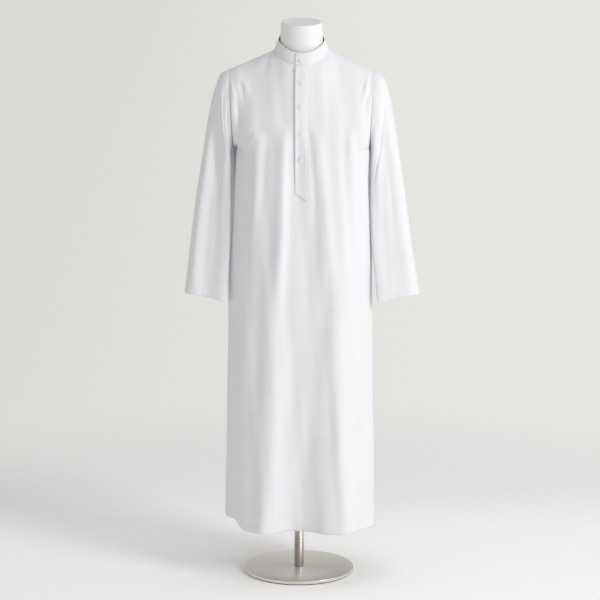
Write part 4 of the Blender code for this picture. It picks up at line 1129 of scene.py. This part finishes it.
def sew_robe():
    def line(face, a, b, steps, out=1.0):
        return on_surface(face, a, b, *steps, out=out, lift=ON_CLOTH)

    panel_steps, strip_steps = (0.06, 0.003), (0.02, 0.004)
    hem_row = (HEM_FOLD - IN_FROM_FOLD) / (UNDERARM_Z - HEM_Z)
    across, up = np.linspace(-HEM_END, HEM_END, 900), np.linspace(*ARMHOLE_ROWS, 300)
    hems, seams = [], []
    for face, out in ((front_face, 1.0), (back_face, -1.0)):
        hems.append(line(face, across, hem_row, panel_steps, out))
        seams += [line(face, side * ARMHOLE_LINE, up, panel_steps, out) for side in (-1, 1)]
    columns = np.linspace(*SHOULDER_COLUMNS, 300)
    seams += [line(back_face, side * columns, SHOULDER_LINE, panel_steps, -1.0) for side in (-1, 1)]
    sew("stitches_hem", hems)
    sew("stitches_armholes", seams)

    cuffs = []
    cuff_line = LAST_SECTION - (CUFF_FOLD - IN_FROM_FOLD) / CUFF_SECTION_LENGTH
    for side, folds in ((1, LEFT_SLEEVE_FOLDS), (-1, RIGHT_SLEEVE_FOLDS)):
        face = partial(sleeve_face, side, folds)
        cuffs.append(line(face, np.linspace(0.0, 360.0, 700), cuff_line, (1.0, 0.02), side))
    sew("stitches_cuffs", cuffs)

    start, end = collar_ends()
    turns = np.linspace(start + COLLAR_SHORT, end - COLLAR_SHORT, 900)
    bands = [line(collar_face, turns, height, (0.6, 0.02), -1.0) for height in COLLAR_LINES]
    sew("stitches_collar", bands, **BAND_STITCHES)

    up, across = np.linspace(*PLACKET_LINE_ENDS, 500), np.linspace(*PLACKET_LINES, 60)
    strips = [line(placket_face, share, up, strip_steps) for share in PLACKET_LINES]
    strips += [line(placket_face, across, level, strip_steps) for level in PLACKET_BARS]
    sew("stitches_placket", strips, **BAND_STITCHES)


sew_robe()

# --- Buttons ---

BUTTON_TURN, COLLAR_BUTTON_HEIGHT = 361.0, 0.42
BUTTON_X = -0.0012
BUTTON_HEIGHTS = (1.460, 1.3925, 1.3175, 1.2435)
BUTTON_RADIUS, BUTTON_THICK, BUTTON_CLEAR = 0.0054, 0.0024, 0.0009
# The button's outline from the middle of its back to that of its face, as shares of radius and thickness
BUTTON_PROFILE = (
    (0.0, 0.0), (0.7, 0.0), (0.88, 0.06), (0.97, 0.22), (1.0, 0.45), (0.985, 0.68), (0.93, 0.88),
    (0.85, 0.98), (0.77, 1.0), (0.7, 0.95), (0.64, 0.8), (0.56, 0.66), (0.42, 0.6), (0.0, 0.58),
)
HOLE_REACH, HOLE_RADIUS = 0.0013, 0.00052
TIE_REACH, THREAD_LEVEL = 0.95, 0.62
BUTTONHOLE_LENGTH, BUTTONHOLE_WIDTH, BUTTONHOLE_LIFT = 0.0145, 0.0026, 0.00012


def drilled_button(look):
    """One button's mesh, with four thread holes, lying on Z = 0."""
    profile = [(r * BUTTON_RADIUS, h * BUTTON_THICK) for r, h in BUTTON_PROFILE]
    blank = lathe("button_blank", profile, 48, look)
    cutters = []
    for turn in (45, 135, 225, 315):
        size = {"radius1": HOLE_RADIUS, "radius2": HOLE_RADIUS, "depth": BUTTON_THICK * 3}
        cylinder = bmesh.new()
        bmesh.ops.create_cone(cylinder, cap_ends=True, segments=14, **size)
        cutter = object_from(cylinder, "cutter")
        cutter.location = (HOLE_REACH * cos(radians(turn)), HOLE_REACH * sin(radians(turn)), 0.0)
        cutters.append(cutter)
        cut = blank.modifiers.new("hole", "BOOLEAN")
        cut.object = cutter
        cut.solver = "EXACT"
    graph = bpy.context.evaluated_depsgraph_get()
    mesh = bpy.data.meshes.new_from_object(blank.evaluated_get(graph))
    for piece in (blank, *cutters):
        bpy.data.objects.remove(piece, do_unlink=True)
    return mesh


def stadium(length, width, count=72):
    """Points round a slot with round ends, longer along Y."""
    turns = np.linspace(0.0, 2.0 * pi, count)
    straight = (length - width) / 2.0
    x = np.cos(turns) * width / 2.0
    y = np.sin(turns) * width / 2.0 + np.where(np.sin(turns) >= 0, straight, -straight)
    return np.stack((x, y, 0 * x), -1)


def button_spots():
    """Places and normals for the collar's button and the placket's four."""
    place, normal = on_surface(collar_face, BUTTON_TURN, COLLAR_BUTTON_HEIGHT, 1.0, 0.05, out=-1.0)
    spots = [(place, normal)]
    first, last = (column_across(edge) for edge in PLACKET_EDGES)
    share = (column_across(BUTTON_X) - first) / (last - first)
    levels = np.linspace(0.0, 1.0, 2001)
    heights = placket_face(np.full_like(levels, share), levels)[:, 2]
    for height in BUTTON_HEIGHTS:
        spots.append(on_surface(placket_face, share, float(np.interp(height, heights, levels)), 0.05, 0.01))
    return spots


def make_buttons():
    mesh = drilled_button(button_look())
    holes, ties = [], []
    for number, (place, normal) in enumerate(button_spots(), start=1):
        turn = Vector(normal).to_track_quat("Z", "Y").to_matrix().to_4x4()
        seat = Matrix.Translation(Vector(place + normal * BUTTON_CLEAR)) @ turn
        button = add_object(f"shell_button_{number}", mesh.copy())
        button.matrix_world = seat
        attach(button, "root")
        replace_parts(button, f"button_{number}")
        flat = np.array(Matrix.Translation(Vector(place + normal * BUTTONHOLE_LIFT)) @ turn)
        ring = stadium(BUTTONHOLE_LENGTH, BUTTONHOLE_WIDTH) @ flat[:3, :3].T + flat[:3, 3]
        holes.append((ring, np.tile(normal, (len(ring), 1))))
        tie = np.array(seat)
        for side in (-1, 1):
            x, y, z = side * HOLE_REACH * sqrt(0.5), HOLE_REACH * TIE_REACH, BUTTON_THICK * THREAD_LEVEL
            path = np.array(((x, -y, z), (x, y, z))) @ tie[:3, :3].T + tie[:3, 3]
            ties.append((path, np.tile(normal, (2, 1))))
    sew("buttonholes", holes, length=0.0011, pitch=0.00042, radius=0.00018, across=True)
    sew("button_thread", ties, length=0.0023, pitch=0.0020, radius=0.00036)


make_buttons()

# --- Dress form and stand ---

# The form's rings lie closer up to the bend at its lower end. The flat top of the neck is tilted, with a
# rounded edge and a faint dish.
FORM_BEND_Z, FORM_NECK_Z = 0.80, 1.59
NECK_TOP_Z, NECK_TOP_RADIUS, NECK_TOP_ROUND = 1.6175, 0.0585, 0.0045
NECK_TOP_DISH, DISH_STEEPNESS = 0.0016, 2.6
NECK_TILT = radians(4.8)
SOCKET_RADIUS, SOCKET_DEPTH = 0.0146, 0.040
PAD_RADIUS, PAD_THICK = 0.1555, 0.003
BASE_RADIUS, BASE_THICK, BASE_ROUND = 0.160, 0.010, 0.0022
POLE_RADIUS = 0.0140
BEVEL = 0.0006
FIT_GAP = 0.0003


def make_form(look):
    angles = np.arange(0.0, 360.0, 2.5)

    def tilted(radius, height):
        ring = circle(radius, height, angles)
        return ring + np.stack((0 * angles, 0 * angles, ring[:, 1] * sin(NECK_TILT)), -1)

    floor, end = FORM_RINGS[0].height, FORM_RINGS[0].height + SOCKET_DEPTH
    rings = [(0.0, 0.0, end), circle(SOCKET_RADIUS, end, angles), circle(SOCKET_RADIUS, floor, angles)]
    heights = [*np.linspace(floor, FORM_BEND_Z, 7, endpoint=False)]
    heights += [*np.linspace(FORM_BEND_Z, FORM_NECK_Z, 150)]
    rings += [ring_points(FORM_RINGS, angles, np.full_like(angles, height))[0] for height in heights]
    for turn in np.radians(np.linspace(0.0, 90.0, 9)):
        radius = NECK_TOP_RADIUS - NECK_TOP_ROUND * (1.0 - cos(turn))
        rings.append(tilted(radius, NECK_TOP_Z - NECK_TOP_ROUND * (1.0 - sin(turn))))
    for share in np.linspace(0.06, 0.94, 12):
        radius = (NECK_TOP_RADIUS - NECK_TOP_ROUND) * (1.0 - share)
        rings.append(tilted(radius, NECK_TOP_Z - NECK_TOP_DISH * smooth_step(share * DISH_STEEPNESS)))
    rings.append((0.0, 0.0, NECK_TOP_Z - NECK_TOP_DISH))
    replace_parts(loft("form_body", rings, look), "form_torso")


def bevelled(radius, low, high, *between):
    """The outline of a rod or disc with bevelled edges, with further points up its side at `between`."""
    side = [(radius, height) for height in (low + BEVEL, *between, high - BEVEL)]
    return [(0.0, low), (radius - BEVEL, low), *side, (radius - BEVEL, high), (0.0, high)]


def make_stand(plate_steel, pole_steel, rubber):
    low, high = PAD_THICK, PAD_THICK + BASE_THICK
    base = [(0.0, low)]
    for turn in np.radians(np.linspace(-90.0, 90.0, 13)):
        middle = low + BASE_ROUND if turn < 0 else high - BASE_ROUND
        base.append((BASE_RADIUS - BASE_ROUND * (1.0 - cos(turn)), middle + BASE_ROUND * sin(turn)))
    base += [(0.10, high), (0.05, high), (0.0, high)]
    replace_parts(lathe("stand_base", base, 192, plate_steel, 50.0), "form_base")
    top = FORM_RINGS[0].height + SOCKET_DEPTH - 2.0 * FIT_GAP
    pole = bevelled(POLE_RADIUS, high + FIT_GAP, top, 0.30, 0.55)
    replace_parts(lathe("stand_pole", pole, 72, pole_steel, 50.0), "form_pole")
    pad = bevelled(PAD_RADIUS, 0.0, PAD_THICK - FIT_GAP)
    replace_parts(lathe("stand_pad", pad, 144, rubber, 60.0), "base_pad")


make_form(form_look())
make_stand(steel_look("steel_base", True), steel_look("steel_pole", False), rubber_look())

# --- Floor, light and camera ---

scene = bpy.context.scene


def linear(*colour):
    """A colour from its values of 0 to 255 on the screen."""
    return tuple((c / 255.0 / 12.92) if c < 10.3 else ((c / 255.0 + 0.055) / 1.055) ** 2.4 for c in colour)


# The backdrop's colours, on the -X and the +X side: straight behind the stand, and in the open further out.
# The -X colours are darker and the +X ones lighter: painted shade on the -X side and painted light on the +X
# side, where the lamp stands.
WALL_PAINTED_SHADING = linear(219, 218, 214), linear(231, 230, 227)
OPEN_PAINTED_SHADING = linear(228, 227, 225), linear(240, 239, 237)
HORIZON = linear(227, 226, 223)
FLOOR_RADIUS = 60.0
# Where the floor's parts begin and end: distances from the stand, and behind it
LIT_TO = (1.2, 2.1)
WALL_FROM = (0.35, 0.95)
OPEN_TO = (2.4, 6.0)
HORIZON_FROM = (15.0, 40.0)
# The x over which the far floor and backdrop go from their darker -X colours to their lighter +X ones, the
# painted shade and painted light
SIDES = (-1.1, 0.6)


def make_floor():
    """A wide floor that shows light and shadow round the stand, with a faint painted glow there. Further out
    it is a glowing backdrop, painted darker on the -X side and lighter on the +X side.
    """
    disc = bmesh.new()
    bmesh.ops.create_circle(disc, cap_ends=True, segments=96, radius=FLOOR_RADIUS)
    floor = object_from(disc, "floor")
    look, shader, nodes = new_look("studio_floor")
    place = nodes.place()
    x, y, _ = nodes.split(place)
    reach = nodes.add("VectorMath", {0: place}, operation="LENGTH").outputs[1]
    back = nodes.rise(y, *WALL_FROM)
    grain = nodes.noise(place, 30.0, 4.0)
    nodes.feed(shader, {
        "Base Color": nodes.blend(grain, (0.90, 0.898, 0.89), (0.92, 0.918, 0.912)),
        # The near floor also glows a little, less behind the stand: painted light that lifts it above what
        # the lamps give
        "Emission Color": (1.0, 0.99, 0.975, 1.0),
        "Emission Strength": nodes.fit(back, 0.0, 1.0, 0.115, 0.045),
        "Roughness": 0.75,
        "Specular IOR Level": 0.10,
    })
    # The far floor and backdrop glow darker towards -X and lighter towards +X: painted shade and painted
    # light
    side = nodes.fit(x, *SIDES)
    open_painted_shading, wall_painted_shading = nodes.blend(side, *OPEN_PAINTED_SHADING), nodes.blend(side, *WALL_PAINTED_SHADING)
    even = nodes.maths("MAXIMUM", back, nodes.rise(reach, *OPEN_TO))
    backdrop = nodes.blend(even, open_painted_shading, wall_painted_shading)
    colour = nodes.blend(nodes.rise(reach, *HORIZON_FROM), backdrop, HORIZON)
    backdrop_painted_shading = nodes.add("Emission", {"Color": colour, "Strength": 1.0}).outputs[0]
    mix = nodes.add("MixShader", {0: nodes.rise(reach, *LIT_TO), 1: shader.outputs[0], 2: backdrop_painted_shading}).outputs[0]
    nodes.feed(look.node_tree.nodes["Material Output"], {"Surface": mix})
    floor.data.materials.append(look)


# The surroundings: the share of the way up at which the backdrop ends and the ceiling begins
ROOM_COLOURS, ROOM_SIDES = ((0.26, 0.258, 0.255), (0.54, 0.54, 0.543)), (-0.8, 0.8)
CEILING = (0.82, 0.82, 0.82)
BACKDROP_TO, CEILING_FROM = (0.18, 0.55), (0.76, 0.88)


def make_world():
    """The backdrop goes on up to a low height all round. Above it the room is dim, and dimmer on the -X side,
    below a bright ceiling."""
    world = bpy.data.worlds.new("studio")
    scene.world = world
    world.use_nodes = True
    nodes = Nodes(world.node_tree)
    x, _, z = nodes.split(nodes.place("Generated"))
    room = nodes.blend(nodes.fit(x, *ROOM_SIDES), *ROOM_COLOURS)
    room = nodes.blend(nodes.rise(z, *CEILING_FROM), room, CEILING)
    sky = {"Color": nodes.blend(nodes.rise(z, *BACKDROP_TO), HORIZON, room), "Strength": 1.0}
    nodes.feed(world.node_tree.nodes["Background"], sky)


KEY_PLACE, KEY_TARGET = Vector((4.40, -3.32, 3.45)), Vector((0.0, 0.0, 0.95))
KEY_WIDTH, KEY_HEIGHT, KEY_POWER = 2.0, 2.4, 172.0


def make_key_light():
    data = bpy.data.lights.new("key", "AREA")
    data.shape = "RECTANGLE"
    data.size, data.size_y = KEY_WIDTH, KEY_HEIGHT
    data.energy = KEY_POWER
    lamp = add_object("key", data)
    lamp.location = KEY_PLACE
    lamp.rotation_euler = (KEY_TARGET - KEY_PLACE).to_track_quat("-Z", "Y").to_euler()


CAMERA_PLACE = (0.0, -9.0, 2.745)
CAMERA_DIP, CAMERA_ROLL = radians(12.13), radians(0.28)
CAMERA_LENS, CAMERA_SENSOR = 191.3, 36.0
PICTURE_SIZE, PICTURE_MIDDLE = 600.0, 300.35


def make_camera():
    data = bpy.data.cameras.new("camera")
    data.sensor_width = CAMERA_SENSOR
    data.sensor_fit = "HORIZONTAL"
    data.lens = CAMERA_LENS
    data.shift_x = (PICTURE_SIZE / 2 - PICTURE_MIDDLE) / PICTURE_SIZE
    data.clip_end = 200.0
    camera = add_object("camera", data)
    turn = Matrix.Rotation(pi / 2 - CAMERA_DIP, 4, "X") @ Matrix.Rotation(CAMERA_ROLL, 4, "Z")
    camera.matrix_world = Matrix.Translation(CAMERA_PLACE) @ turn
    scene.camera = camera


make_floor()
make_world()
make_key_light()
make_camera()
scene.view_settings.view_transform = "Standard"
